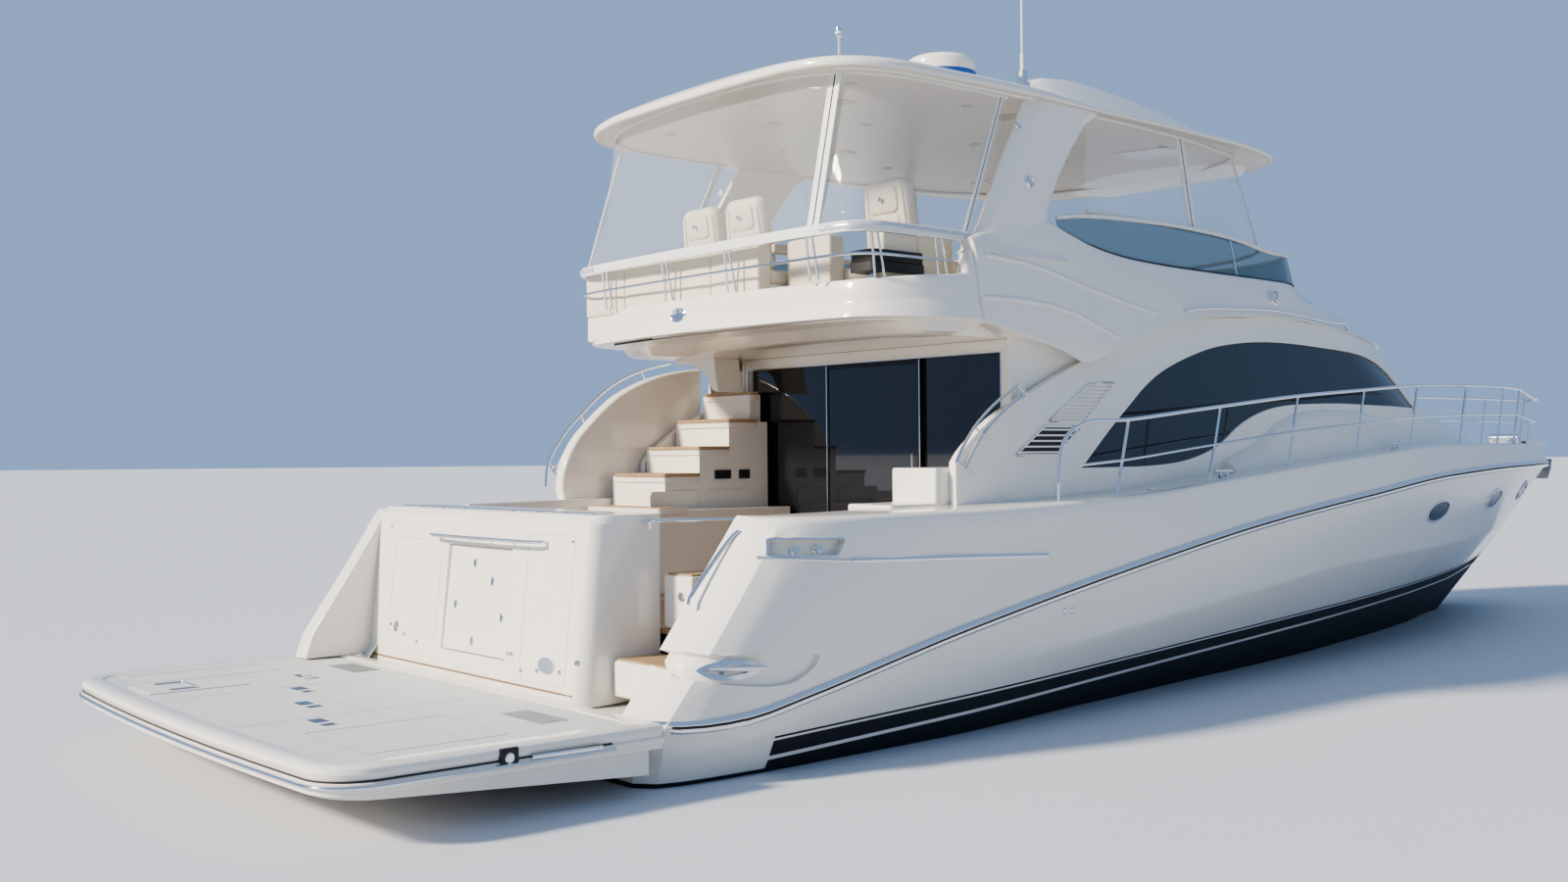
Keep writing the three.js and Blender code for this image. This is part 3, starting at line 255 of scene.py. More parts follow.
def makeTeak():
    made, tree, shader = newMaterial("laidTeak", teakLook["light"], 0.5)
    whole, parts = objectPlace(tree)
    across = doMath(tree, "DIVIDE", parts.outputs["X"], teakLook["plank"])
    board = doMath(tree, "FLOOR", across)
    seam = doMath(tree, "LESS_THAN", doMath(tree, "FRACT", across), teakLook["caulk"])
    tone = addNode(tree, "ShaderNodeTexWhiteNoise", noise_dimensions="1D")
    feed(board, tone, "W")
    stretch = addNode(tree, "ShaderNodeMapping", {"Scale": (60.0, 2.5, 20.0)})
    wire(whole, "Object", stretch, "Vector")
    fibre = addNode(tree, "ShaderNodeTexNoise", {"Scale": 3.0, "Detail": 5.0})
    wire(stretch, "Vector", fibre, "Vector")
    blend = doMath(tree, "ADD", doMath(tree, "MULTIPLY", tone.outputs["Value"], 0.5),
                   doMath(tree, "MULTIPLY", fibre.outputs["Fac"], 0.5))
    wood = mixColour(tree, blend, (*teakLook["light"], 1), (*teakLook["dark"], 1))
    feed(mixColour(tree, seam, wood, (0.02, 0.02, 0.02, 1)), shader, "Base Color")
    bump = addNode(tree, "ShaderNodeBump", {"Strength": 0.6, "Distance": 0.002})
    feed(doMath(tree, "SUBTRACT", fibre.outputs["Fac"], seam), bump, "Height")
    wire(bump, "Normal", shader, "Normal")
    return made


def makeClearVinyl():
    made, tree, shader = newMaterial("clearVinyl", (0.86, 0.89, 0.92), 0.06, Alpha=0.09)
    ripple = addNode(tree, "ShaderNodeTexNoise", {"Scale": 2.4, "Detail": 2.0, "Distortion": 0.6})
    bump = addNode(tree, "ShaderNodeBump", {"Strength": 0.5, "Distance": 0.02})
    place = addNode(tree, "ShaderNodeTexCoord")
    wire(place, "Object", ripple, "Vector")
    wire(ripple, "Fac", bump, "Height")
    wire(bump, "Normal", shader, "Normal")
    return made


gelcoat = makeFinish("gelcoat", gelcoatLook["colour"], gelcoatLook["rough"], gelcoatLook["stain"], 0.35, 0.9,
                     0.12, Coat_Weight=gelcoatLook["coat"], Coat_Roughness=0.06)
# a darker copy of the gelcoat for the hardtop's underside: painted shade
soffit = makeFinish("soffitGelcoat", (0.72, 0.66, 0.56), 0.32, (0.5, 0.42, 0.33), 0.4, 1.6, 0.1)
hullPaint = makeHullPaint()
steel = makeFinish("stainlessSteel", (0.78, 0.79, 0.81), 0.12, (0.5, 0.46, 0.4), 0.25, 9.0, 0.16, 1.0)
darkGlass = makeFinish("darkGlass", (0.012, 0.014, 0.018), 0.03, (0.05, 0.05, 0.055), 0.3, 1.2, 0.03,
                       Coat_Weight=0.5, Coat_Roughness=0.02)
teak = makeTeak()
upholstery = makeFinish("creamVinyl", (0.78, 0.71, 0.58), 0.42, (0.5, 0.42, 0.3), 0.5, 2.5, grainScale=420.0,
                        depth=0.0006, Sheen_Weight=0.15)
nonskid = makeFinish("nonskidGelcoat", (0.68, 0.68, 0.66), 0.62, (0.45, 0.43, 0.4), 0.6, 2.2,
                     grainScale=260.0, depth=0.0012)
clearVinyl = makeClearVinyl()
tint = makeFinish("tintedScreen", (0.06, 0.15, 0.175), 0.05, (0.13, 0.24, 0.27), 0.6, 1.4, 0.05, Alpha=0.44)
bronze = makeFinish("castBronze", (0.58, 0.39, 0.17), 0.32, (0.16, 0.2, 0.13), 0.9, 7.0, 0.3, 1.0)
galvanised = makeFinish("galvanisedSteel", (0.32, 0.33, 0.34), 0.45, (0.14, 0.13, 0.12), 0.9, 14.0, 0.3, 0.9)
blackTrim = makeFinish("blackRubber", (0.012, 0.012, 0.013), 0.55, (0.06, 0.06, 0.06), grainScale=200.0)
enginePaint = makeFinish("engineEnamel", (0.78, 0.79, 0.78), 0.4, (0.4, 0.38, 0.34))
whiteVinyl = makeFinish("whiteVinyl", (0.82, 0.81, 0.78), 0.38, (0.55, 0.5, 0.42), grainScale=300.0)
looks = {"gelcoat": gelcoat, "steel": steel, "galvanised": galvanised, "dark_glass": darkGlass, "teak": teak,
         "upholstery": upholstery, "tinted_screen": tint, "clear_vinyl": clearVinyl, "black_trim": blackTrim,
         "bronze": bronze, "engine_paint": enginePaint}
slotOf = {look.name: slot for slot, look in looks.items()}
slotOf.update({hullPaint.name: "gelcoat", nonskid.name: "gelcoat", whiteVinyl.name: "clear_vinyl"})
bySlot = {part["node"]: part["material_slot"] for part in frame["record"]["subparts"]}
for nodeName, node in frame["nodes"].items():
    node.data.materials.clear()
    node.data.materials.append(looks[bySlot[nodeName]])
print("materials made")

# Shape helpers


def monotone(knots, values, at):  # smooth curve through the knots with no overshoot
    steps = np.diff(knots)
    slopes = np.diff(values) / steps
    tangents = np.zeros(len(knots))
    for i in range(1, len(knots) - 1):
        if slopes[i - 1] * slopes[i] > 0:
            near, far = 2 * steps[i] + steps[i - 1], steps[i] + 2 * steps[i - 1]
            tangents[i] = (near + far) / (near / slopes[i - 1] + far / slopes[i])
    tangents[0], tangents[-1] = slopes[0], slopes[-1]
    which = np.clip(np.searchsorted(knots, at, side="right") - 1, 0, len(steps) - 1)
    t = (at - knots[which]) / steps[which]
    h = steps[which]
    return ((1 + 2 * t) * (1 - t) ** 2 * values[which] + t * (1 - t) ** 2 * h * tangents[which]
            + t * t * (3 - 2 * t) * values[which + 1] + t * t * (t - 1) * h * tangents[which + 1])


def refine(table, step, extra=()):  # rows of a table, filled in along its first column
    rows = np.array(table, float)
    order = np.argsort(rows[:, 0])
    rows = rows[order]
    count = max(2, int(round((rows[-1, 0] - rows[0, 0]) / step)) + 1)
    at = np.concatenate([rows[:, 0], np.linspace(rows[0, 0], rows[-1, 0], count), extra])
    at = np.unique(np.round(at, 5))
    keep = np.concatenate([[True], np.diff(at) > step * 0.25])
    at = at[keep]
    return np.column_stack([at] + [monotone(rows[:, 0], rows[:, k], at) for k in range(1, rows.shape[1])])


def soften(points, radii, steps=5):  # a polyline with its inner corners rounded
    points = [np.array(p, float) for p in points]
    out = []
    for i, p in enumerate(points):
        if i in (0, len(points) - 1) or not radii[i]:
            out.append(p)
            continue
        back, ahead = points[i - 1] - p, points[i + 1] - p
        reach = min(radii[i], 0.45 * np.linalg.norm(back), 0.45 * np.linalg.norm(ahead))
        back, ahead = back / (np.linalg.norm(back) + 1e-9), ahead / (np.linalg.norm(ahead) + 1e-9)
        start, end = p + back * reach, p + ahead * reach
        pull = math.sqrt(max(0.0, (1 - float(back @ ahead)) / 2))  # makes the corner a true arc
        for t in np.linspace(0, 1, steps):
            a, b, c = (1 - t) ** 2, 2 * t * (1 - t) * pull, t * t
            out.append((a * start + b * p + c * end) / (a + b + c))
    return np.array(out)


def softenLoop(points, radii, steps=5):  # a closed outline with rounded corners
    points, radii = list(points), list(radii)
    middle = tuple((np.array(points[-1], float) + np.array(points[0], float)) / 2)
    return soften([middle] + points + [middle], [0] + radii + [0], steps)[:-1]


def withBreaks(table, *breaks):  # rows of a refined table, with a pair of close rows at each break
    rows = list(table)
    for at in breaks:
        for near in (at - 0.001, at + 0.001):
            rows.append(np.array([near] + [np.interp(near, table[:, 0], table[:, k])
                                           for k in range(1, table.shape[1])]))
    return sorted(rows, key=lambda row: row[0])


def bothSides(half):  # closed ring from a starboard half that starts and ends on the centreline
    half = np.array(half)
    inner = half[1:-1] * (-1, 1, 1)
    return np.concatenate([half, inner[::-1]])


def finishMesh(name, verts, faces, look, smooth=32, bevel=0.0, segments=3, weld=1e-5):
    mesh = bpy.data.meshes.new(name)
    mesh.from_pydata([tuple(float(c) for c in v) for v in verts], [], faces)
    shape = bmesh.new()
    shape.from_mesh(mesh)
    bmesh.ops.remove_doubles(shape, verts=shape.verts, dist=weld)
    bmesh.ops.dissolve_degenerate(shape, edges=shape.edges, dist=weld)
    bmesh.ops.recalc_face_normals(shape, faces=shape.faces)
    shape.to_mesh(mesh)
    shape.free()
    for one in look if isinstance(look, (list, tuple)) else [look]:
        mesh.materials.append(one)
    mesh.shade_smooth()
    mesh.set_sharp_from_angle(angle=math.radians(smooth))
    obj = newObject(name, mesh)
    if bevel:
        addBevel(obj, bevel, segments)
    return obj


def addBevel(obj, width, segments=3):
    rounding = obj.modifiers.new("roundedEdges", "BEVEL")
    rounding.width = width
    rounding.segments = segments
    rounding.limit_method = "ANGLE"
    rounding.angle_limit = math.radians(35)
    rounding.harden_normals = True


def place(obj, slot, replaced="", body="yacht"):
    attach(obj, body)
    if replaced:
        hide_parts(replaced)
    return obj


def fit(name, meshes, look, replaced="", body="yacht", slot="", **more):  # one piece from its meshes
    obj = finishMesh(name, *joined(meshes), look, **more)
    return place(obj, slot or slotOf[look.name], replaced, body)


def ringFaces(rings, count):  # faces between closed rings of equal point count
    pairs = [(r * count + i, r * count + (i + 1) % count) for r in range(rings - 1) for i in range(count)]
    return [(a, b, b + count, a + count) for a, b in pairs]


def skinMesh(rows):  # a skin over closed rows of equal point count, with both ends shut
    count, total = len(rows[0]), len(rows) * len(rows[0])
    ends = [tuple(range(count)), tuple(reversed(range(total - count, total)))]
    return np.concatenate([np.array(row) for row in rows]), ringFaces(len(rows), count) + ends


def prismMesh(outline, x, width, shifts=None):  # an outline in (y, z), given a breadth across
    count = len(outline)
    verts = [(x, y, z) for y, z in outline]
    verts += [(x + width, y + s, z) for (y, z), s in zip(outline, shifts or [0] * count)]
    return verts, [tuple(range(count)), tuple(reversed(range(count, 2 * count)))] + ringFaces(2, count)


boxFaces = [(0, 1, 3, 2), (4, 6, 7, 5), (0, 4, 5, 1), (2, 3, 7, 6), (0, 2, 6, 4), (1, 5, 7, 3)]


def boxMesh(x0, x1, y0, y1, z0, z1):
    return [(x, y, z) for x in (x0, x1) for y in (y0, y1) for z in (z0, z1)], boxFaces


def joined(parts):  # several vertex and face lists as one
    verts, faces = [], []
    for someVerts, someFaces in parts:
        base = len(verts)
        verts += [tuple(v) for v in someVerts]
        faces += [tuple(base + i for i in face) for face in someFaces]
    return verts, faces


def smoothPath(points, step=0.05):  # centripetal curve through points
    points = [np.array(p, float) for p in points]
    ends = [2 * points[0] - points[1]] + points + [2 * points[-1] - points[-2]]
    out = []
    for i in range(1, len(ends) - 2):
        p0, p1, p2, p3 = ends[i - 1:i + 3]
        count = max(1, int(np.linalg.norm(p2 - p1) / step))
        times = [0.0]
        for a, b in ((p0, p1), (p1, p2), (p2, p3)):
            times.append(times[-1] + max(1e-6, np.linalg.norm(b - a)) ** 0.5)
        for t in np.linspace(times[1], times[2], count, endpoint=False):
            a1 = p0 + (p1 - p0) * (t - times[0]) / (times[1] - times[0])
            a2 = p1 + (p2 - p1) * (t - times[1]) / (times[2] - times[1])
            a3 = p2 + (p3 - p2) * (t - times[2]) / (times[3] - times[2])
            b1 = a1 + (a2 - a1) * (t - times[0]) / (times[2] - times[0])
            b2 = a2 + (a3 - a2) * (t - times[1]) / (times[3] - times[1])
            out.append(b1 + (b2 - b1) * (t - times[1]) / (times[2] - times[1]))
    return out + [points[-1]]


def smoothFlat(points, step):  # the same for points on a plane
    return [tuple(p[:2]) for p in smoothPath([(p[0], p[1], 0) for p in points], step)]


def tubeMesh(path, radius, sides=10, flat=1.0):  # a round bar along a path
    path = [np.array(p, float) for p in path]
    verts = []
    count = len(path)
    normal = None
    for i, p in enumerate(path):
        ahead, behind = path[min(i + 1, count - 1)], path[max(i - 1, 0)]
        along = (ahead - behind) / (np.linalg.norm(ahead - behind) + 1e-12)
        if normal is None:
            normal = np.array((0.0, 0.0, 1.0) if abs(along[2]) < 0.9 else (1.0, 0.0, 0.0))
        normal = normal - along * np.dot(normal, along)
        normal = normal / np.linalg.norm(normal)
        side = np.cross(along, normal)
        size = radius[i] if isinstance(radius, (list, tuple)) else radius
        for k in range(sides):
            angle = 2 * math.pi * k / sides
            verts.append(p + normal * math.cos(angle) * size + side * math.sin(angle) * size * flat)
    ends = [tuple(reversed(range(sides))), tuple(range((count - 1) * sides, count * sides))]
    return verts, ringFaces(count, sides) + ends


def discMesh(centre, axis, profile, sides=24):  # a turned form: profile of (radius, distance along the axis)
    axis = np.array(axis, float) / np.linalg.norm(axis)
    first = np.cross(axis, (0, 0, 1) if abs(axis[2]) < 0.9 else (1, 0, 0))
    first = first / np.linalg.norm(first)
    second = np.cross(axis, first)
    verts = []
    for radius, along in profile:
        for k in range(sides):
            angle = 2 * math.pi * k / sides
            verts.append(np.array(centre) + axis * along
                         + (first * math.cos(angle) + second * math.sin(angle)) * max(radius, 1e-4))
    ends = [tuple(reversed(range(sides))), tuple(range((len(profile) - 1) * sides, len(profile) * sides))]
    return verts, ringFaces(len(profile), sides) + ends


def mirrored(mesh):  # a mesh with its port image
    return joined([mesh, ([(-x, y, z) for x, y, z in mesh[0]], [tuple(reversed(face)) for face in mesh[1]])])


def bothWays(points):  # a line that ends on the centreline, carried on down the port side
    return list(points) + [(-x, y) + tuple(rest) for x, y, *rest in reversed(points[:-1])]


def inRegion(point, loops):
    inside = False
    for loop in loops:
        for i, (x1, y1) in enumerate(loop):
            x2, y2 = loop[i - 1]
            if (y1 > point[1]) != (y2 > point[1]) and point[0] < (x2 - x1) * (point[1] - y1) / (y2 - y1) + x1:
                inside = not inside
    return inside


def resample(loop, step):  # a closed outline with its long sides divided
    out = []
    for i, p in enumerate(loop):
        q = loop[(i + 1) % len(loop)]
        count = max(1, int(math.dist(p, q) / step))
        out += [(p[0] + (q[0] - p[0]) * k / count, p[1] + (q[1] - p[1]) * k / count) for k in range(count)]
    return out


def fillLoops(loops, step, divide=True):  # points and triangles that fill outlines in (u, v), holes left open
    loops = [resample(loop, step) for loop in loops] if divide else loops
    points, edges = [], []
    for loop in loops:
        base = len(points)
        points += [Vector(p) for p in loop]
        edges += [(base + i, base + (i + 1) % len(loop)) for i in range(len(loop))]
    rim = len(points)
    low = [min(p[k] for p in points) for k in (0, 1)]
    high = [max(p[k] for p in points) for k in (0, 1)]
    for u in np.arange(low[0] + step, high[0], step):
        for v in np.arange(low[1] + step / 2, high[1], step):
            near = min((Vector((u, v)) - p).length for p in points[:rim])
            if near > step * 0.45 and inRegion((u, v), loops):
                points.append(Vector((u, v)))
    made, _, triangles, _, _, _ = delaunay_2d_cdt(points, edges, [], 0, 1e-6)
    kept = []
    for face in triangles:
        centre = sum((made[i] for i in face), Vector((0, 0))) / len(face)
        if inRegion(centre, loops):
            kept.append(tuple(face))
    return made, kept


def panelMesh(loops, toSpace, thick, step=0.12):  # a curved panel with holes, mapped from outlines in (u, v)
    made, kept = fillLoops(loops, step)
    front = [toSpace(p[0], p[1], 0.0) for p in made]
    back = [toSpace(p[0], p[1], thick) for p in made]
    count = len(made)
    faces = kept + [tuple(reversed([i + count for i in face])) for face in kept]
    uses = {(a, face[(i + 1) % len(face)]): True for face in kept for i, a in enumerate(face)}
    faces += [(b, a, a + count, b + count) for a, b in uses if (b, a) not in uses]
    return front + back, faces


def curveLoop(points, step=0.08, corners=()):  # a smooth closed outline through points, sharp where named
    points = [tuple(p) for p in points]
    if not corners:
        ring = points[-2:] + points + points[:3]
        path = smoothFlat(ring, step)
        same = [i for i, p in enumerate(path) if math.dist(p, points[0]) < 1e-6]
        return path[same[0]:same[-1]]
    out = []
    marks = sorted(corners)
    for k, a in enumerate(marks):
        b = marks[(k + 1) % len(marks)]
        run = points[a:b + 1] if b > a else points[a:] + points[:b + 1]
        out += smoothFlat(run, step)[:-1]
    return out


def frameStrip(loop, width, toSpace, depth, step=0.1):  # a flat band that follows an outline inward
    inner = insetLoop(loop, width)
    return panelMesh([loop, inner], toSpace, depth, step)


def rounded(points, radius, steps=4):
    return [tuple(p[:2]) for p in softenLoop(points, [radius] * len(points), steps)]


def boxLoop(x0, x1, y0, y1):
    return [(x0, y0), (x1, y0), (x1, y1), (x0, y1)]


def lineRun(line):  # distance run along a line at each of its points
    return np.concatenate([[0], np.cumsum(np.linalg.norm(np.diff(line, axis=0), axis=1))])


# Hull, deck and trunk from their stations

sternY = -7.5
stations = [  # y, keelZ, then x and z of chine, crease and rail line, and x, z, y of the deck edge
    [sternY, -0.72, 1.95, -0.06, 1.97, 0.19, 2.0, 0.39, 2.03, 1.64, -6.56],
    [-7.4, -0.726, 2.05, -0.062, 2.13, 0.195, 2.165, 0.385, 2.19, 1.64, -6.463],
    [-7.2, -0.737, 2.09, -0.064, 2.21, 0.205, 2.245, 0.382, 2.275, 1.641, -6.288],
    [-6.85, -0.757, 2.11, -0.066, 2.27, 0.245, 2.31, 0.402, 2.335, 1.642, -6.03],
    [-6.45, -0.778, 2.125, -0.068, 2.285, 0.29, 2.335, 0.48, 2.36, 1.645, -5.791],
    [-5.0, -0.85, 2.115, -0.06, 2.33, 0.46, 2.4, 0.8, 2.39, 1.65, -4.951],
    [-3.0, -0.9, 1.88, -0.05, 2.37, 0.66, 2.44, 1.16, 2.42, 1.71, -3.0],
    [-1.3, -0.92, 1.68, -0.05, 2.37, 0.84, 2.455, 1.42, 2.43, 1.85, -1.3],
    [0.5, -0.92, 1.48, -0.05, 2.31, 0.99, 2.445, 1.62, 2.42, 1.99, 0.5],
    [2.3, -0.89, 1.17, -0.05, 2.16, 1.04, 2.37, 1.785, 2.34, 2.09, 2.3],
    [4.3, -0.78, 0.76, -0.05, 1.79, 1.09, 2.13, 1.85, 2.1, 2.1, 4.3],
    [5.9, -0.5, 0.33, -0.05, 1.27, 1.12, 1.72, 1.86, 1.69, 2.09, 5.9],
    [7.0, 0.23, 0.19, 0.48, 0.78, 1.13, 1.32, 1.855, 1.29, 2.08, 7.0],
    [8.0, 1.0, 0.13, 1.06, 0.2, 1.14, 0.86, 1.84, 0.83, 2.07, 8.0],
    [8.9, 1.43, 0.06, 1.45, 0.09, 1.5, 0.43, 1.82, 0.41, 2.055, 8.85],
    [9.7, 1.74, 0.03, 1.745, 0.04, 1.76, 0.06, 1.8, 0.05, 2.04, 9.4],
]
hullRows = refine(stations, 0.12)
cockpit = {"inner": 1.97, "wellStartY": -6.745, "bulkheadY": -3.85, "saloonInner": 1.9, "wellEndY": 2.2,
           "floorZ": 0.8, "transomFloorZ": 0.42}
deckCamber = 0.06


def railAt(y):  # rail line's half breadth and height at a station
    return (np.interp(y, hullRows[:, 0], hullRows[:, 6]), np.interp(y, hullRows[:, 0], hullRows[:, 7]))


def makeHull():
    rows = []
    wellStart, wellEnd = cockpit["wellStartY"], cockpit["wellEndY"]
    for y, keelZ, chineX, chineZ, creaseX, creaseZ, railX, railZ, *_ in withBreaks(
            hullRows, wellStart, cockpit["bulkheadY"], wellEnd):
        inWell = wellStart < y < wellEnd
        innerX = cockpit["inner"] if y < cockpit["bulkheadY"] else cockpit["saloonInner"]
        innerX = innerX if inWell else railX * 0.9
        floorZ = min(railZ - 0.004, cockpit["floorZ"]) if inWell else railZ - 0.004
        half = soften([(0, y, keelZ), (chineX, y, chineZ), (creaseX, y, creaseZ), (railX, y, railZ),
                       (innerX, y, railZ), (innerX, y, floorZ), (0, y, floorZ)],
                      [0, 0.3, 0.03, 0, 0, 0, 0], 6)
        rows.append(bothSides(half))
    fit("hullShell", [skinMesh(rows)], hullPaint, "hull", smooth=28)


def makeDeck():
    rows = []
    wellEnd = cockpit["wellEndY"]
    for y, _, _, _, _, _, railX, railZ, edgeX, edgeZ, edgeY in withBreaks(
            hullRows, cockpit["bulkheadY"], wellEnd):
        innerX = cockpit["inner"] if edgeY < cockpit["bulkheadY"] else cockpit["saloonInner"]
        lowZ = cockpit["transomFloorZ"] if y < -6.7 else cockpit["floorZ"]
        if edgeY > wellEnd:
            innerX, lowZ = 0.0, railZ
        innerX = min(innerX, edgeX * 0.9)
        shoulderX = max(edgeX * 0.94, innerX + 0.012)
        innerZ = edgeZ + 0.012 + deckCamber * 0.8 * (1 - innerX / (edgeX + 1e-6))
        full = 0.035 * min(1.0, max(0.0, (-5.3 - y) / 0.7))
        side = [(railX + (edgeX - railX) * t + full * math.sin(math.pi * t), y + (edgeY - y) * t,
                 railZ + (edgeZ - railZ) * t) for t in (0.12, 0.24, 0.36, 0.48, 0.6, 0.72, 0.84)]
        half = soften([(railX, y, railZ)] + side + [(edgeX, edgeY, edgeZ), (shoulderX, edgeY, edgeZ + 0.012),
                                                    (innerX, edgeY, innerZ), (innerX, y, lowZ)],
                      [0] * 8 + [0.05, 0.02, 0.02, 0], 5)
        rows.append(half)
    fit("deckMoulding", [skinMesh([row * (side, 1, 1) for row in rows]) for side in (1, -1)], gelcoat, "deck",
        smooth=28)


def makeQuarterPanel():  # the port stern quarter, a narrow sloping panel
    edge = [(-7.96, 0.4503), (-7.9, 0.64), (-7.56, 1.15), (-7.36, 1.46), (-7.34, 1.5), (-7.24, 1.64),
            (-6.9, 1.64), (-6.9, 0.4503)]
    panel = prismMesh(edge, -1.9705, -0.225, [0.0, 0.01, 0.02, 0.02, 0.02, 0.02, 0, 0])
    fit("quarterPanel", [panel], gelcoat, "deck", bevel=0.018)


trunkStations = [  # y, half breadth at foot and top, height of foot and top
    [-1.25, 2.2, 2.15, 1.8, 1.96], [-0.8, 2.22, 2.11, 1.85, 2.11], [-0.35, 2.23, 2.09, 1.89, 2.33],
    [0.1, 2.23, 2.07, 1.92, 2.45], [0.9, 2.21, 2.04, 1.98, 2.49], [2.2, 2.11, 1.93, 2.04, 2.47],
    [3.3, 1.9, 1.7, 2.06, 2.42], [4.4, 1.6, 1.38, 2.06, 2.34], [5.5, 1.18, 0.96, 2.06, 2.25],
    [6.5, 0.74, 0.54, 2.06, 2.17], [7.2, 0.36, 0.22, 2.05, 2.11],
]


def makeTrunk():
    rows = []
    for y, footX, topX, footZ, topZ in refine(trunkStations, 0.12):
        half = soften([(0, y, footZ - 0.05), (footX, y, footZ - 0.05), (topX, y, topZ), (0, y, topZ + 0.025)],
                      [0, 0, 0.14, 0], 8)
        rows.append(bothSides(half))
    fit("trunkMoulding", [skinMesh(rows)], gelcoat, "deck", smooth=40)


makeHull()
makeDeck()
makeQuarterPanel()
makeTrunk()
print("hull and deck made")

# House: a curved panel seen as (s, z), where s runs forward along the side and then round the front

houseLevels = [  # z, half breadth, y where the round front starts, y of its front
    [1.5, 2.04, 1.9, 4.5], [2.45, 2.03, 1.7, 4.3], [3.06, 1.97, 0.9, 3.4], [3.3, 1.945, 0.6, 3.0]]
houseLook = {"aftY": -4.66, "wall": 0.07, "arc": 2.4, "glassDepth": 0.02, "glassThick": 0.02}
archLine = [(-4.66, 1.99), (-4.6, 2.06), (-4.25, 2.32), (-3.8, 2.52), (-3.21, 2.76), (-2.3, 3.06),
            (-1.6, 3.2), (-0.69, 3.27), (0.13, 3.28), (0.9, 3.22), (1.9, 3.14), (3.0, 3.11)]
windowLine = [(-3.19, 1.93), (-2.21, 1.94), (-1.73, 1.985), (-1.3, 2.1), (-0.92, 2.3), (-0.44, 2.44),
              (0.5, 2.5), (1.5, 2.495), (2.38, 2.48), (1.88, 2.84), (1.4, 2.975), (0.5, 3.04), (-0.37, 3.055),
              (-1.0, 3.01), (-1.45, 2.93), (-2.16, 2.69), (-2.69, 2.34)]
screenLine = {"lowX": 1.78, "lowZ": 2.52, "highX": 1.64, "highZ": 3.03}


def houseAt(z):
    levels = np.array(houseLevels)
    return [np.interp(z, levels[:, 0], levels[:, k]) for k in (1, 2, 3)]


def housePoint(side):
    def toSpace(s, z, depth):
        halfX, roundY, frontY = houseAt(z)
        if s <= 0:
            return (side * (halfX - depth), roundY + s, z)
        angle = min(s / houseLook["arc"], math.pi / 2)
        return (side * (halfX - depth) * math.cos(angle),
                roundY + (frontY - depth - roundY) * math.sin(angle), z)
    return toSpace


def houseUv(y, z):  # from a side view point
    _, roundY, frontY = houseAt(z)
    if y <= roundY:
        return (y - roundY, z)
    return (math.asin(min(1.0, (y - roundY) / (frontY - roundY))) * houseLook["arc"], z)


def screenUv(x, z):  # from a front view point
    return (math.acos(min(1.0, x / houseAt(z)[0])) * houseLook["arc"], z)


def insetLoop(loop, distance):  # an outline drawn in by a distance
    area = sum(a[0] * b[1] - b[0] * a[1] for a, b in zip(loop, loop[1:] + loop[:1]))
    turn = 1 if area > 0 else -1
    out = []
    for i, p in enumerate(loop):
        before, after = loop[i - 1], loop[(i + 1) % len(loop)]
        n1 = Vector((before[1] - p[1], p[0] - before[0]))
        n2 = Vector((p[1] - after[1], after[0] - p[0]))
        n1, n2 = n1.normalized() * turn, n2.normalized() * turn
        scale = distance / max(0.35, 1 + n1.dot(n2))
        out.append((p[0] + (n1.x + n2.x) * scale, p[1] + (n1.y + n2.y) * scale))
    return out


def makeHouse():
    windowSide = curveLoop(windowLine, 0.08, corners=(0, 8))
    window = [houseUv(*p) for p in windowSide]
    middle = math.pi / 2 * houseLook["arc"]
    low = [(screenLine["lowX"] * (1 - t), screenLine["lowZ"]) for t in (0, 0.25, 0.5, 0.75, 0.97)]
    high = [(screenLine["highX"] * t, screenLine["highZ"]) for t in (0.25, 0.5, 0.75, 1)]
    halfScreen = [screenUv(x, z) for x, z in low + [(0.05, screenLine["highZ"])] + high]
    top = [houseUv(*p) for p in smoothFlat(archLine, 0.1)]
    outline = [houseUv(houseLook["aftY"], 1.6), (middle, 1.6), (middle, 3.1)] + top[::-1]
    shells, glass, screens = [], [], []
    for side in (1, -1):
        point = housePoint(side)
        shells.append(panelMesh([outline, window, halfScreen], point, houseLook["wall"], 0.13))
        for panes, loop in ((glass, window), (screens, halfScreen)):
            panes.append(panelMesh([insetLoop(loop, 0.002)],
                                   lambda s, z, d: point(s, z, d + houseLook["glassDepth"]),
                                   houseLook["glassThick"], 0.13))
    fit("houseShell", shells, gelcoat, "house", smooth=30, bevel=0.012)
    for way, pane in zip(("stbd", "port"), glass):
        fit("sideGlass_" + way, [pane], darkGlass, "side_glass_" + way, smooth=30)
    fit("windscreenGlass", screens, darkGlass, "windscreen", smooth=30)


makeHouse()
print("house made")

# Flybridge moulding

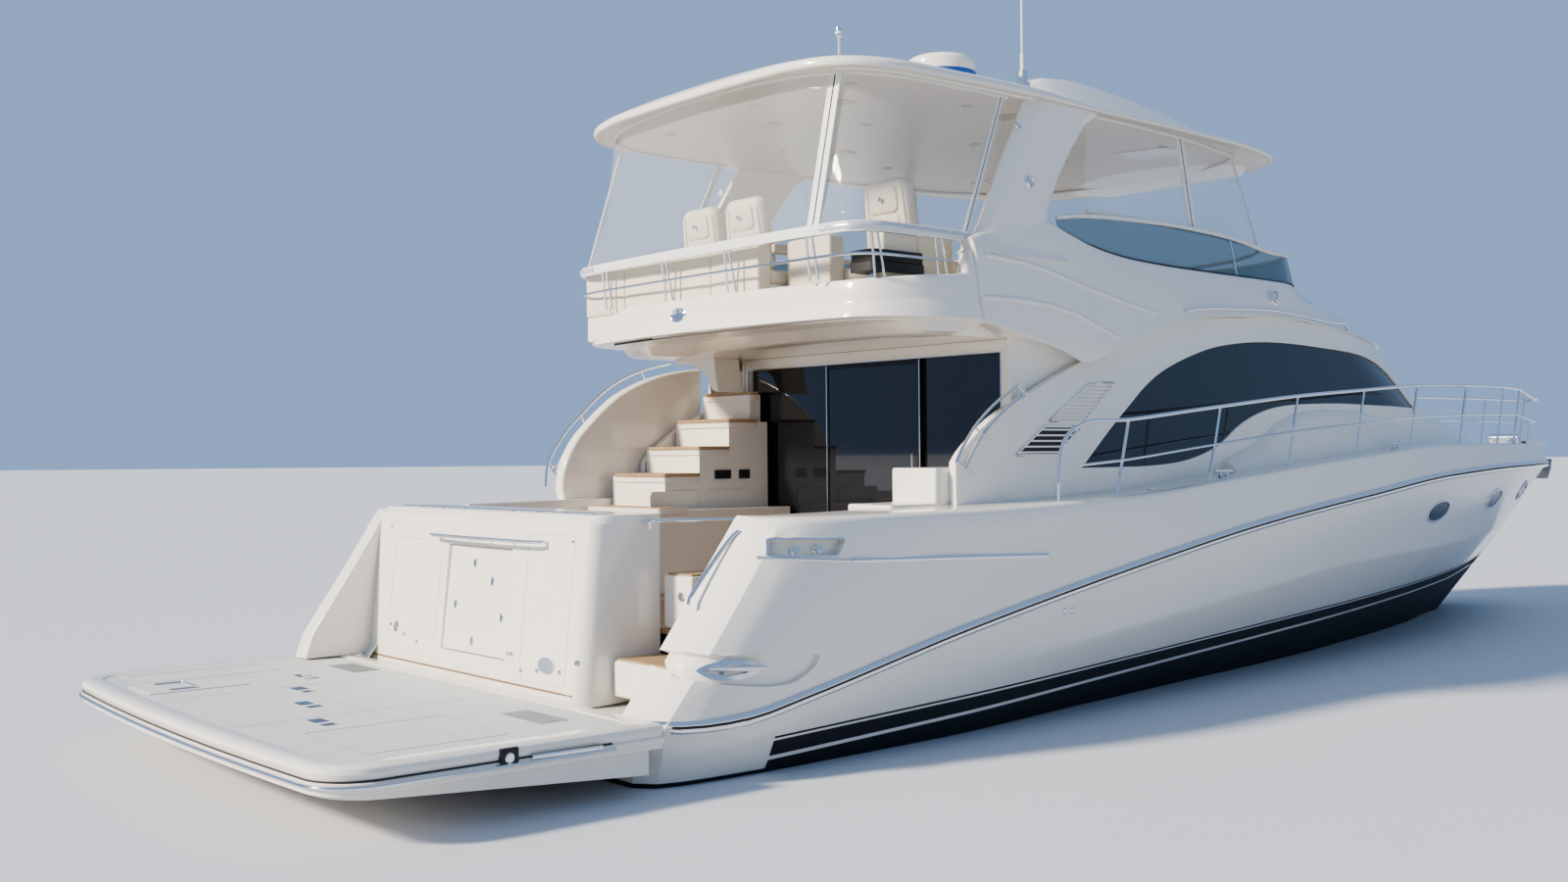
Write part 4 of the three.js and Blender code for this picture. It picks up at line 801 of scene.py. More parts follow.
bridgeStations = [  # y, then x and z of lip, lower crease, upper crease and coaming top
    [-5.3, 2.10, 3.045, 2.05, 3.165, 2.045, 3.24, 2.03, 3.335],
    [-4.9, 2.11, 3.045, 2.06, 3.195, 2.055, 3.27, 2.03, 3.372],
    [-4.48, 2.11, 3.04, 2.065, 3.235, 2.055, 3.30, 2.02, 3.41],
    [-4.44, 2.11, 3.036, 2.07, 3.24, 2.03, 3.56, 1.985, 3.66],
    [-3.95, 2.11, 2.955, 2.07, 3.255, 2.01, 3.555, 1.95, 3.79],
    [-3.5, 2.11, 2.85, 2.075, 3.235, 2.015, 3.51, 1.945, 3.9],
    [-3.21, 2.11, 2.76, 2.08, 3.18, 2.02, 3.46, 1.94, 3.83],
    [-2.9, 2.11, 2.863, 2.085, 3.08, 2.025, 3.385, 1.935, 3.75],
    [-2.6, 2.10, 2.965, 2.085, 3.02, 2.025, 3.345, 1.928, 3.705],
    [-2.3, 2.09, 3.06, 2.08, 3.09, 2.025, 3.315, 1.92, 3.68],
    [-1.6, 2.06, 3.2, 2.05, 3.225, 2.02, 3.34, 1.905, 3.66],
    [-0.69, 2.02, 3.27, 2.01, 3.3, 1.975, 3.43, 1.885, 3.655],
    [0.13, 1.99, 3.28, 1.98, 3.3, 1.925, 3.44, 1.84, 3.655],
    [0.7, 1.985, 3.236, 1.96, 3.26, 1.83, 3.46, 1.545, 3.655],
    [1.2, 1.935, 3.196, 1.9, 3.22, 1.65, 3.48, 1.02, 3.655],
]
bridgeFront = [  # the same, with the crown's height
    [1.2, 1.935, 3.196, 1.9, 3.22, 1.65, 3.48, 1.02, 3.655, 3.66],
    [1.48, 1.895, 3.174, 1.86, 3.2, 1.58, 3.45, 0.9, 3.6, 3.65],
    [2.0, 1.75, 3.136, 1.7, 3.17, 1.34, 3.39, 0.7, 3.5, 3.54],
    [2.6, 1.43, 3.121, 1.36, 3.15, 0.95, 3.3, 0.45, 3.36, 3.385],
    [3.05, 0.99, 3.109, 0.93, 3.13, 0.58, 3.22, 0.28, 3.25, 3.265],
    [3.38, 0.25, 3.101, 0.24, 3.11, 0.18, 3.14, 0.1, 3.15, 3.155],
]
bridge = {"sternY": -5.3, "floorTop": 3.08, "floorLow": 2.95, "bulge": 0.26, "bulgeEndY": -4.48,
          "bulgeHalf": 2.12, "drop": 0.09, "wall": 0.11, "corner": 0.8, "cornerIn": 0.42, "slabIn": 0.14}


def sternShare(y):
    return max(0.0, (bridge["bulgeEndY"] - y) / (bridge["bulgeEndY"] - bridge["sternY"])) ** 1.5


def bulged(x, y):
    return y - bridge["bulge"] * sternShare(y) * (1 - (x / bridge["bulgeHalf"]) ** 2)


def cornerShrink(y):
    t = min(1.0, max(0.0, (y - bridge["sternY"]) / bridge["corner"]))
    return bridge["cornerIn"] * (1 - math.sqrt(max(0.0, 1 - (1 - t) ** 2)))


bridgeRows = refine(bridgeStations, 0.1, extra=[-5.29, -5.25, -5.2, -5.1, -4.465])


def bridgeAt(y):
    return [float(np.interp(y, bridgeRows[:, 0], bridgeRows[:, k])) for k in range(1, 9)]


def makeFlybridge():
    rows = []
    for y, *rest in bridgeRows:
        lowX, lowZ, creaseX, creaseZ, foldX, foldZ, topX, topZ = rest
        drop = min(1.0, max(0.0, (-4.85 - y) / 0.2))
        bottom = bridge["floorLow"] + bridge["drop"] * drop * drop * (3 - 2 * drop)
        reach = lowX - cornerShrink(y)
        wall = bridge["wall"]
        if y < -4.46:  # only the deck here; the rim round the stern is a form of its own
            edge = reach - bridge["slabIn"]
            lowX = creaseX = foldX = topX = edge
            lowZ, creaseZ, foldZ, topZ, wall = bottom + 0.012, bottom + 0.02, 3.068, 3.075, 0.03
        floorX = topX - wall - 0.02
        half = soften([(0, y, bottom), (0.9, y, bottom), (1.4, y, bottom),
                       (min(1.84, lowX - 0.06), y, bottom),
                       (min(1.87, lowX - 0.03), y, max(lowZ, bottom) + 0.001), (lowX, y, lowZ),
                       (creaseX, y, creaseZ), (foldX, y, foldZ), (topX, y, topZ), (topX - wall, y, topZ),
                       (floorX, y, bridge["floorTop"]), (floorX * 0.8, y, bridge["floorTop"]),
                       (floorX * 0.45, y, bridge["floorTop"]), (0, y, bridge["floorTop"])],
                      [0, 0, 0, 0, 0, 0.012, 0.02, 0.02, 0.035, 0.035, 0.04, 0, 0, 0], 4)
        inward = bridge["slabIn"] * sternShare(y)
        half[:, 1] = [bulged(p[0], p[1]) + inward for p in half]
        rows.append(bothSides(half))
    for y, lowX, lowZ, creaseX, creaseZ, foldX, foldZ, topX, topZ, crownZ in refine(bridgeFront, 0.1):
        rise = crownZ - topZ
        side = [(lowX * f, lowZ) for f in (0, 0.4, 0.7, 0.9, 0.93, 1)]
        side += [(creaseX, creaseZ), (foldX, foldZ), (topX, topZ)]
        crown = [(topX * f, topZ + rise * (1 - f * f)) for f in (0.88, 0.7, 0.5, 0.25, 0)]
        half = soften([(x, y + 0.002, z) for x, z in side + crown],
                      [0, 0, 0, 0, 0, 0.012, 0.02, 0.06, 0.1, 0.035, 0.04, 0, 0, 0], 4)
        rows.append(bothSides(half))
    fit("bridgeMoulding", [skinMesh(rows)], gelcoat, "flybridge", smooth=26)


def aheadAt(line, i):  # the direction of a plan line at one of its points
    a, b = line[max(0, i - 1)], line[min(len(line) - 1, i + 1)]
    return Vector((b[0] - a[0], b[1] - a[1])).normalized()


def makeBridgeRim():  # the coaming round the stern, swept along the plan
    plan = [(bridgeAt(y)[0] - cornerShrink(y), y) for y in np.linspace(-4.435, -5.29, 14)]
    plan = [(x, bulged(x, y), y) for x, y in plan]
    aftY = bridge["sternY"]
    plan += [(x, bulged(x, aftY), aftY) for x in np.linspace(plan[-1][0] - 0.12, 0, 12)]
    plan += [(-x, y, at) for x, y, at in reversed(plan[:-1])]
    rim = []
    for i, (x, y, at) in enumerate(plan):
        along = aheadAt(plan, i)
        out = Vector((-along.y, along.x))
        out = out if out.x * x + out.y * (y + 3) > 0 else -out
        lowX, lowZ, creaseX, creaseZ, foldX, foldZ, topX, topZ = bridgeAt(at)
        section = soften([(0.26, 0, lowZ + 0.004), (0.015, 0, lowZ), (0, 0, lowZ + 0.008),
                          (lowX - creaseX, 0, creaseZ), (lowX - foldX, 0, foldZ), (lowX - topX, 0, topZ),
                          (lowX - topX + bridge["wall"], 0, topZ), (lowX - topX + 0.14, 0, 3.072)],
                         [0, 0.008, 0.004, 0.012, 0, 0.025, 0.03, 0], 4)
        rim.append([(x - out.x * p[0], y - out.y * p[0], p[2]) for p in section])
    fit("bridgeRim", [skinMesh(rim)], gelcoat, "flybridge", smooth=26)
    slot = [(x, bulged(x, aftY) + 0.1, 3.043) for x in np.linspace(-1.42, -0.75, 8)]
    fit("soffitSlot", [tubeMesh(slot, 0.012, 8)], blackTrim, "flybridge")
    profile = [(0.062, 0), (0.062, 0.006), (0.052, 0.012), (0.046, 0.008), (0.0, 0.008)]
    verts, faces = discMesh((-0.25, bulged(-0.25, aftY) + 0.052, 3.2), (0, -1, 0.05), profile, 32)
    fit("sternPlate", [([(-0.25 + (x + 0.25) * 1.7, y, z) for x, y, z in verts], faces)], steel, "flybridge")


def makeLiners():  # side panels under the bridge, inside the cockpit
    outline = [(-3.92, 2.3), (-3.92, 2.99), (-2.5, 2.99), (-2.5, 2.45), (-3.1, 2.3)]
    fit("sideLiner", [prismMesh(outline, x, 0.03) for x in (1.9, -1.93)], gelcoat, "house")


makeFlybridge()
makeBridgeRim()
makeLiners()
print("flybridge made")

# Hardtop and its legs

roofStations = [  # y, half breadth, height of edge, underside and crown
    [-5.56, 1.2, 4.88, 4.935, 5.01], [-5.43, 1.59, 4.862, 4.945, 5.05], [-5.15, 1.81, 4.85, 4.955, 5.1],
    [-4.3, 1.9, 4.845, 4.975, 5.165], [-2.8, 1.91, 4.845, 4.98, 5.195], [-1.2, 1.86, 4.85, 4.975, 5.2],
    [-0.2, 1.73, 4.87, 4.97, 5.17], [0.5, 1.48, 4.9, 4.975, 5.12], [0.95, 1.05, 4.935, 4.98, 5.07],
    [1.15, 0.55, 4.96, 4.985, 5.04],
]
humpStations = [  # y, half breadth, height of base and top
    [-3.25, 0.8, 5.08, 5.17], [-3.0, 0.98, 5.08, 5.2], [-2.72, 1.02, 5.08, 5.27], [-2.45, 1.03, 5.08, 5.385],
    [-1.99, 1.03, 5.08, 5.42], [-1.78, 1.03, 5.08, 5.41], [-0.5, 0.95, 5.06, 5.335], [0.6, 0.75, 5.0, 5.2],
    [0.98, 0.5, 4.98, 5.08],
]
roofLook = {"rim": 0.06, "hatches": [(0.85, -0.6), (-0.85, -0.6)]}
roofRows = refine(roofStations, 0.1)


def roofAt(y):  # half breadth, heights of edge, underside and crown
    return [float(np.interp(y, roofRows[:, 0], roofRows[:, k])) for k in (1, 2, 3, 4)]


def roofOutline():
    stern = [(0.0, -5.6), (0.6, -5.592), (1.2, -5.55)]
    side = [(x, y) for y, x, _, _, _ in roofStations[1:-1]]
    bow = [(0.55, 1.15), (0.25, 1.2), (0.0, 1.21)]
    return bothWays(smoothFlat(stern + side + bow, 0.09))[:-1]


def rimShare(y):  # the rim is thinner ahead of the arch legs
    t = min(1.0, max(0.0, (y + 3.7) / 1.1))
    return 1 - 0.36 * t * t * (3 - 2 * t)


def roofTop(x, y):
    half, edgeZ, _, crownZ = roofAt(y)
    t = min(1.0, abs(x) / (half - roofLook["rim"] + 1e-6))
    low = edgeZ + 0.112 * rimShare(y)
    crownZ = min(crownZ, low + 0.25)
    return low + max(0.0, crownZ - low) * (1 - t ** 2.4)


def roofUnder(x, y):
    half, edgeZ, underZ, _ = roofAt(y)
    t = min(1.0, abs(x) / (half - roofLook["rim"] + 1e-6))
    return underZ - (underZ - edgeZ - 0.012) * t ** 2.2


def makeHardtop():
    outline = roofOutline()
    rim = [(0.06, None), (0.035, 0.114), (0.012, 0.1), (-0.004, 0.08), (-0.012, 0.055), (-0.006, 0.034),
           (0.006, 0.022), (0.024, 0.02), (0.034, 0.03), (0.05, 0.032), (0.06, 0.0)]
    rings = []
    for inset, rise in rim:
        ring = insetLoop(outline, inset)
        if rise is None:
            rings.append([(x, y, roofTop(x, y)) for x, y in ring])
        elif rise == 0.0:
            rings.append([(x, y, roofUnder(x, y)) for x, y in ring])
        else:
            rings.append([(x, y, roofAt(y)[1] + rise * rimShare(y)) for x, y in ring])
    sides = ([p for ring in rings for p in ring], ringFaces(len(rings), len(outline)))
    inner = insetLoop(outline, roofLook["rim"])
    made, kept = fillLoops([inner], 0.16, divide=False)
    top = ([(p[0], p[1], roofTop(p[0], p[1])) for p in made], kept)
    low = ([(p[0], p[1], roofUnder(p[0], p[1])) for p in made], [tuple(reversed(face)) for face in kept])
    roof = finishMesh("hardtopMoulding", *joined([sides, top, low]), [gelcoat, soffit], smooth=50, weld=1e-4)
    # faces that look down take the darker gelcoat copy: painted shade under the hardtop
    for face in roof.data.polygons:
        if face.normal.z < -0.5:
            face.material_index = 1
    place(roof, "gelcoat", "hardtop")


def makeHump():
    hump = []
    for y, halfX, baseZ, topZ in refine(humpStations, 0.1):
        foot = min(halfX + 0.34, roofAt(y)[0] - 0.16)
        hump.append(bothSides(soften([(0, y, baseZ - 0.06), (foot, y, baseZ - 0.06),
                                      (foot - 0.03, y, baseZ - 0.01), (halfX + 0.02, y, topZ - 0.015),
                                      (halfX * 0.7, y, topZ + 0.006), (0, y, topZ + 0.014)],
                                     [0, 0, 0.03, 0.045, 0.2, 0], 6)))
    fit("hardtopHousing", [skinMesh(hump)], gelcoat, "hardtop", smooth=40)


def makeRoofFittings():
    rims = [frameStrip(rounded(boxLoop(x - 0.32, x + 0.32, y - 0.24, y + 0.24), 0.05, 5), 0.03,
                       lambda u, v, d: (u, v, roofUnder(u, v) - 0.006 + d), 0.012, 0.2)
            for x, y in roofLook["hatches"]]
    fit("roofHatchRims", rims, gelcoat, "hardtop", bevel=0.002)
    panes = [panelMesh([boxLoop(x - 0.29, x + 0.29, y - 0.21, y + 0.21)],
                       lambda u, v, d: (u, v, roofUnder(u, v) - 0.003 + d), 0.006, 0.2)
             for x, y in roofLook["hatches"]]
    fit("roofHatchPanes", panes, darkGlass, "hardtop")
    profile = [(0.05, 0), (0.05, 0.008), (0.042, 0.012), (0.04, 0.006), (0.0, 0.006)]
    lights = [discMesh((x, y, roofUnder(x, y) + 0.004), (0, 0, -1), profile, 20)
              for x in (-1.2, 0.0, 1.2) for y in (-4.9, -3.6, -2.2, -0.9)]
    for x, y in ((-0.55, -4.3), (0.5, -4.4), (1.15, -3.0), (-1.0, -3.0)):
        z = roofUnder(x, y)
        lights.append(boxMesh(x - 0.13, x + 0.13, y - 0.07, y + 0.07, z - 0.012, z + 0.01))
    fit("soffitFittings", lights, makeFinish("soffitTrim", (0.6, 0.56, 0.5), 0.4, (0.3, 0.3, 0.3)), "hardtop",
        slot="gelcoat", bevel=0.003)


makeHardtop()
makeHump()
makeRoofFittings()
print("hardtop made")

# Plain pieces that keep their form and get softened edges


def refined(nodeName, name, look, bevel, body):
    mesh = frame["nodes"][nodeName].data.copy()
    shape = bmesh.new()
    shape.from_mesh(mesh)
    bmesh.ops.remove_doubles(shape, verts=shape.verts, dist=2e-5)
    bmesh.ops.dissolve_limit(shape, angle_limit=math.radians(1), verts=shape.verts, edges=shape.edges)
    bmesh.ops.recalc_face_normals(shape, faces=shape.faces)
    shape.to_mesh(mesh)
    shape.free()
    mesh.materials.clear()
    mesh.materials.append(look)
    mesh.shade_smooth()
    mesh.set_sharp_from_angle(angle=math.radians(30))
    obj = newObject(name, mesh)
    addBevel(obj, bevel)
    place(obj, bySlot[nodeName], nodeName, body)


def camel(name):
    first, *rest = name.split("_")
    return first + "".join(word.title() for word in rest)


doorSteel = makeFinish("doorSteel", (0.035, 0.037, 0.04), 0.24, (0.015, 0.015, 0.015), 0.5, 8.0, metal=0.9)
refinedNodes = [  # node, look, edge rounding, and its body where that isn't the yacht
    ("ladder_lid", nonskid, 0.004, "ladder_lid"), ("transom_module", gelcoat, 0.025),
    ("transom_lid", gelcoat, 0.008, "transom_lid"), ("cockpit_stairs", gelcoat, 0.02),
    ("side_steps", gelcoat, 0.02), ("aft_bulkhead", gelcoat, 0.006),
    ("sliding_door", doorSteel, 0.003, "door"),
    ("galley_unit", gelcoat, 0.015), ("helm_console", gelcoat, 0.03),
    ("anchor_locker_lid", nonskid, 0.005, "anchor_locker_lid"), ("anchor_roller", steel, 0.004),
    ("foredeck_hatch", darkGlass, 0.006, "foredeck_hatch"), ("windlass", steel, 0.006),
    ("anchor", galvanised, 0.006), ("lower_helm", gelcoat, 0.02), ("cockpit_sole", teak, 0.004),
    ("saloon_sole", teak, 0.004), ("door_glass", darkGlass, 0.001, "door"),
    ("fixed_pane_port", darkGlass, 0.001), ("fixed_pane_stbd", darkGlass, 0.001),
    ("antenna_base", steel, 0.003),
    ("trim_tab_stbd", bronze, 0.003, "trim_tab_stbd"), ("trim_tab_port", bronze, 0.003, "trim_tab_port"),
    ("rudder_stbd", bronze, 0.006, "rudder_stbd"), ("rudder_port", bronze, 0.006, "rudder_port"),
    ("shaft_strut_stbd", bronze, 0.006), ("shaft_strut_port", bronze, 0.006),
    ("engine_stbd", enginePaint, 0.03), ("engine_port", enginePaint, 0.03),
]
endings = {"sliding_door": "Frame", "windlass": "Body", "anchor": "Body"}
for nodeName, look, width, *bodies in refinedNodes:
    refined(nodeName, camel(nodeName) + endings.get(nodeName, ""), look, width,
            bodies[0] if bodies else "yacht")
print("plain pieces softened")

# Cutting by a temporary form


def carve(obj, parts, smooth=30):
    verts, faces = joined(parts)
    mesh = bpy.data.meshes.new("cutter")
    mesh.from_pydata([tuple(float(c) for c in v) for v in verts], [], faces)
    shape = bmesh.new()
    shape.from_mesh(mesh)
    bmesh.ops.recalc_face_normals(shape, faces=shape.faces)
    shape.to_mesh(mesh)
    shape.free()
    tool = newObject("cutter", mesh)
    others = [(m.name, m.show_viewport) for m in obj.modifiers]
    for name, _ in others:
        obj.modifiers[name].show_viewport = False
    cut = obj.modifiers.new("cut", "BOOLEAN")
    cut.operation = "DIFFERENCE"
    cut.solver = "EXACT"
    cut.object = tool
    bpy.context.view_layer.update()
    made = bpy.data.meshes.new_from_object(obj.evaluated_get(bpy.context.evaluated_depsgraph_get()))
    obj.modifiers.remove(cut)
    for name, shown in others:
        obj.modifiers[name].show_viewport = shown
    obj.data = made
    bpy.data.objects.remove(tool)
    made.shade_smooth()
    made.set_sharp_from_angle(angle=math.radians(smooth))


# Swim platform

platform = {
    "half": 2.30, "corner": 0.33, "crown": 0.06, "sternY": -9.69, "frontY": -7.4995, "fieldZ": 0.443,
    "ladder": (-1.5, -1.02, -9.46, -8.76),
}


def platformOutline(inset):
    half, frontY = platform["half"] - inset, platform["frontY"] - inset
    cornerY = platform["sternY"] + platform["crown"] + inset
    radius = max(0.05, platform["corner"] - inset)
    reach = half - radius
    stern = [(x, cornerY - platform["crown"] * (1 - (x / reach) ** 2))
             for x in np.linspace(reach, -reach, 13)]
    corner = [(reach + radius * math.cos(a), cornerY + radius - radius * math.sin(a))
              for a in np.linspace(0, math.pi / 2, 9)[:-1]]
    sideRun = [(half, y) for y in np.linspace(frontY, cornerY + radius, 6)[:-1]]
    starboard = sideRun + corner
    return starboard + stern + [(-x, y) for x, y in reversed(starboard)]


def aftOf(y):  # distance aft of the transom's foot
    return max(0.0, sternY - y)


def makePlatform():
    rimSteps = [  # inset, height
        (0.17, 0.443), (0.155, 0.443), (0.145, 0.452), (0.13, 0.456), (0.06, 0.456), (0.03, 0.45),
        (0.01, 0.435), (0.004, 0.41), (0.014, 0.39), (0.018, 0.372), (0.01, 0.366), (0.0, 0.36), (0.0, 0.326),
        (0.01, 0.32), (0.012, 0.298), (0.03, 0.29), (0.07, 0.29)]
    rings = [[(x, y, z) for x, y in platformOutline(inset)] for inset, z in rimSteps]
    rings.append([(x, y, min(0.285, 0.13 + aftOf(y) * 0.07)) for x, y in platformOutline(0.07)])
    rings.append([(x * 0.97, y * 0.97 - 0.2, min(0.28, 0.13 + aftOf(y) * 0.07) - 0.004)
                  for x, y in platformOutline(0.1)])
    plate = finishMesh("platformMoulding", *skinMesh(rings), [gelcoat, nonskid], smooth=35)
    x0, x1, y0, y1 = platform["ladder"]
    carve(plate, [boxMesh(x0, x1, y0, y1, 0.4195, 0.6)])
    carve(plate, [boxMesh(x0 + 0.03, x1 - 0.03, y0 + 0.03, y1 - 0.03, 0.305, 0.43)])
    for face in plate.data.polygons:
        if face.normal.z > 0.98 and abs(face.center.z - platform["fieldZ"]) < 0.001 and face.area > 0.5:
            face.material_index = 1
    place(plate, "gelcoat", "swim_platform")
    low = [(-7.4995, -0.25), (-7.4995, 0.16), (-8.9, 0.24), (-7.7, -0.1)]
    brackets = [prismMesh(low, x, 0.08) for x in (-0.68, 0.60)]
    fit("platformBrackets", brackets, gelcoat, "swim_platform", bevel=0.01)
    strip = [(x, y, 0.343) for x, y in platformOutline(-0.006)]
    fit("platformRubStrip", [tubeMesh(strip[1:-1], 0.013, 8)], steel, "swim_platform")
    dark = [(x, y, 0.371) for x, y in platformOutline(0.012)]
    fit("platformRubSeam", [tubeMesh(dark[1:-1], 0.006, 6)], blackTrim, "swim_platform")


def seamLines(lines, z, width, rise):  # thin raised joints on a level surface
    parts = []
    for (xa, ya), (xb, yb) in lines:
        along = Vector((xb - xa, yb - ya)).normalized() * 0.5
        nx, ny = -along.y * width, along.x * width
        verts = [(xa + nx, ya + ny, z), (xb + nx, yb + ny, z), (xb - nx, yb - ny, z), (xa - nx, ya - ny, z)]
        verts += [(x, y, z + rise) for x, y, _ in verts]
        parts.append((verts, [(0, 3, 2, 1), (4, 5, 6, 7), (0, 1, 5, 4), (1, 2, 6, 5), (2, 3, 7, 6),
                              (3, 0, 4, 7)]))
    return joined(parts)


def hatchRing(x0, x1, y0, y1, z):
    loop = rounded(boxLoop(x0, x1, y0, y1), 0.04, 5)
    return frameStrip(loop, 0.008, lambda u, v, d: (u, v, z + 0.002 - d), 0.004, 0.2)


def makePlatformFittings():
    fieldZ = platform["fieldZ"]
    lines = [((x, -9.5), (x, -7.7)) for x in (-0.72, 0.62)] + [((-2.1, -8.62), (2.1, -8.62))]
    seams = [seamLines(lines, fieldZ - 0.001, 0.007, 0.002)]
    hatches = [hatchRing(1.1, 1.95, -9.25, -8.35, fieldZ), hatchRing(-2.05, -1.6, -9.3, -8.3, fieldZ)]
    fit("platformSeams", seams + hatches,
        makeFinish("seamSealant", (0.42, 0.42, 0.41), 0.6, (0.3, 0.3, 0.3)), "swim_platform", slot="gelcoat")
    chocks = []
    for x, y in ((-1.25, -8.35), (-0.66, -8.62), (-0.02, -8.85), (0.68, -9.05)):
        for dx, wide in ((0, 0.13), (0.2, 0.07)):
            chocks.append(boxMesh(x + dx, x + dx + wide, y, y + 0.09, fieldZ - 0.004, fieldZ + 0.003))
    fit("chockSockets", chocks, darkGlass, "swim_platform", slot="black_trim", bevel=0.002)
    grilles = []
    for x, y in ((-1.55, -7.95), (1.3, -8.05)):
        for k in range(7):
            low = y + k * 0.03
            grilles.append(boxMesh(x, x + 0.5, low, low + 0.014, fieldZ - 0.002, fieldZ + 0.004))
    fit("platformGrilles", grilles, galvanised, "swim_platform", slot="steel", bevel=0.0015)
    pull = [(-1.42, -9.3, 0.456), (-1.42, -9.1, 0.456), (-1.1, -9.1, 0.456), (-1.1, -9.3, 0.456)]
    pull = soften(pull, [0, 0.03, 0.03, 0], 5)
    fit("ladderPull", [tubeMesh(pull, 0.006, 8)], steel, body="ladder_lid")
    fit("shoreSocket", [boxMesh(2.26, 2.306, -8.62, -8.5, 0.33, 0.44)], blackTrim, "swim_platform",
        bevel=0.008)
    dial = discMesh((2.305, -8.56, 0.385), (1, 0, 0),
                    [(0.03, -0.01), (0.03, 0.004), (0.024, 0.008), (0.0, 0.008)])
    fit("socketCover", [dial], steel, "swim_platform")
    bar = [(2.31, -8.42, 0.37), (2.31, -7.95, 0.365)]
    fit("platformSideStrip", [tubeMesh(bar, 0.013, 8, flat=0.6)], steel, "swim_platform")


makePlatform()
makePlatformFittings()
print("platform made")

# Rub rail, side strip and rails

bridgeRail = {"topZ": 3.67, "lowZ": 3.50, "top": 0.015, "low": 0.011}
bridgePlan = [(1.89, -4.3), (1.89, -4.95), (1.875, -5.28), (1.77, -5.44), (1.45, -5.495), (0.7, -5.52),
              (0.0, -5.53)]


rubSection = [  # outward, forward at the stem, up
    (-0.03, 0.0, -0.04), (0.016, 0.03, -0.039), (0.026, 0.04, -0.026), (0.026, 0.04, -0.01),
    (0.017, 0.03, -0.004), (0.017, 0.03, 0.004), (0.026, 0.04, 0.01), (0.026, 0.04, 0.026),
    (0.016, 0.03, 0.039), (-0.03, 0.0, 0.04)]


def makeRubRail():
    light, dark = [], []
    for side in (1, -1):
        rows, line = [], []
        for y in np.concatenate([np.arange(-7.47, 9.6, 0.15), [9.66]]):
            x, z = railAt(y)
            nose = max(0.0, (y - 8.9) / 0.8)
            rows.append([(side * (x + out), y + ahead * nose, z + up) for out, ahead, up in rubSection])
            line.append((side * (x + 0.0165), y + 0.03 * nose, z))
        light.append(skinMesh(rows))
        dark.append(tubeMesh(line, 0.0055, 6))
    x, z = railAt(9.66)
    nose = [(-x - 0.02, 9.64, z), (0, 9.76, z), (x + 0.02, 9.64, z)]
    light.append(tubeMesh(smoothPath(nose, 0.02), 0.026, 10))
    fit("rubRail", light, steel, "rub_rail", smooth=45)
    fit("rubRailInsert", dark, blackTrim, "rub_rail")


def makeSideStrip():
    path = [(2.26, -6.74, 1.402), (2.325, -6.5, 1.385), (2.372, -6.02, 1.352), (2.392, -5.0, 1.322),
            (2.41, -4.08, 1.292)]
    bar = tubeMesh(smoothPath(path[2:], 0.1), 0.021, 8)
    thin = tubeMesh(smoothPath(path[:3] + [(2.383, -5.5, 1.336)], 0.1), 0.012, 8)
    fit("quarterStrip", [mirrored(joined([bar, thin]))], steel, "rub_rail")


railStations = [  # y, x, z of the bow rail's top bar
    [-3.83, 2.31, 1.8], [-3.76, 2.31, 2.13], [-3.56, 2.32, 2.27], [-3.0, 2.35, 2.31], [-1.77, 2.37, 2.43],
    [-0.56, 2.37, 2.54], [0.65, 2.34, 2.62], [1.8, 2.28, 2.69], [3.2, 2.11, 2.73], [4.8, 1.78, 2.76],
    [6.3, 1.3, 2.78], [7.6, 0.8, 2.78], [8.9, 0.33, 2.76], [9.5, 0.13, 2.745], [9.62, 0.0, 2.74]]
bowRail = {"top": 0.016, "mid": 0.010, "post": 0.012, "midDrop": 0.32, "midBack": 0.07}


def makeBowRail():
    top = [(x, y, z) for y, x, z in railStations]
    parts = [tubeMesh(smoothPath(bothWays(top), 0.08), bowRail["top"], 10)]
    low = [(x, y - bowRail["midBack"], z - bowRail["midDrop"]) for x, y, z in top[2:]]
    parts.append(tubeMesh(smoothPath(bothWays(low), 0.08), bowRail["mid"], 8))
    for x, y, z in top[3:-2]:
        foot = (x - 0.008, y - 0.2, z - 0.78)
        post = tubeMesh([foot, (x, y, z)], bowRail["post"], 8)
        collar = discMesh((foot[0], foot[1], foot[2] + 0.05), (0, 0.25, 1),
                          [(0.035, 0), (0.035, 0.006), (0.018, 0.016), (0.016, 0.05)], 16)
        parts.append(mirrored(joined([post, collar])))
    parts.append(mirrored(tubeMesh([(2.31, -3.83, 1.66), (2.31, -3.83, 1.82)], bowRail["top"], 10)))
    fit("bowRail", parts, steel, "bow_rail")


def makeBridgeRail():
    parts = []
    for z, size in ((bridgeRail["topZ"], bridgeRail["top"]), (bridgeRail["lowZ"], bridgeRail["low"])):
        parts.append(tubeMesh(smoothPath([(x, y, z) for x, y in bothWays(bridgePlan)], 0.06), size, 10))
    for x, y in ((1.88, -4.66), (1.8, -5.24), (1.36, -5.49), (0.42, -5.525)):
        for shift in (-0.03, 0.03):
            wide = (shift, 0) if abs(x) < 1.7 else (0, shift)
            post = tubeMesh([(x + wide[0] * 1.6, y + wide[1] * 1.6 + 0.05, 3.34),
                             (x + wide[0], y + wide[1], 3.67)], 0.010, 8)
            parts.append(mirrored(post))
    fit("bridgeRail", parts, steel, "bridge_rail")


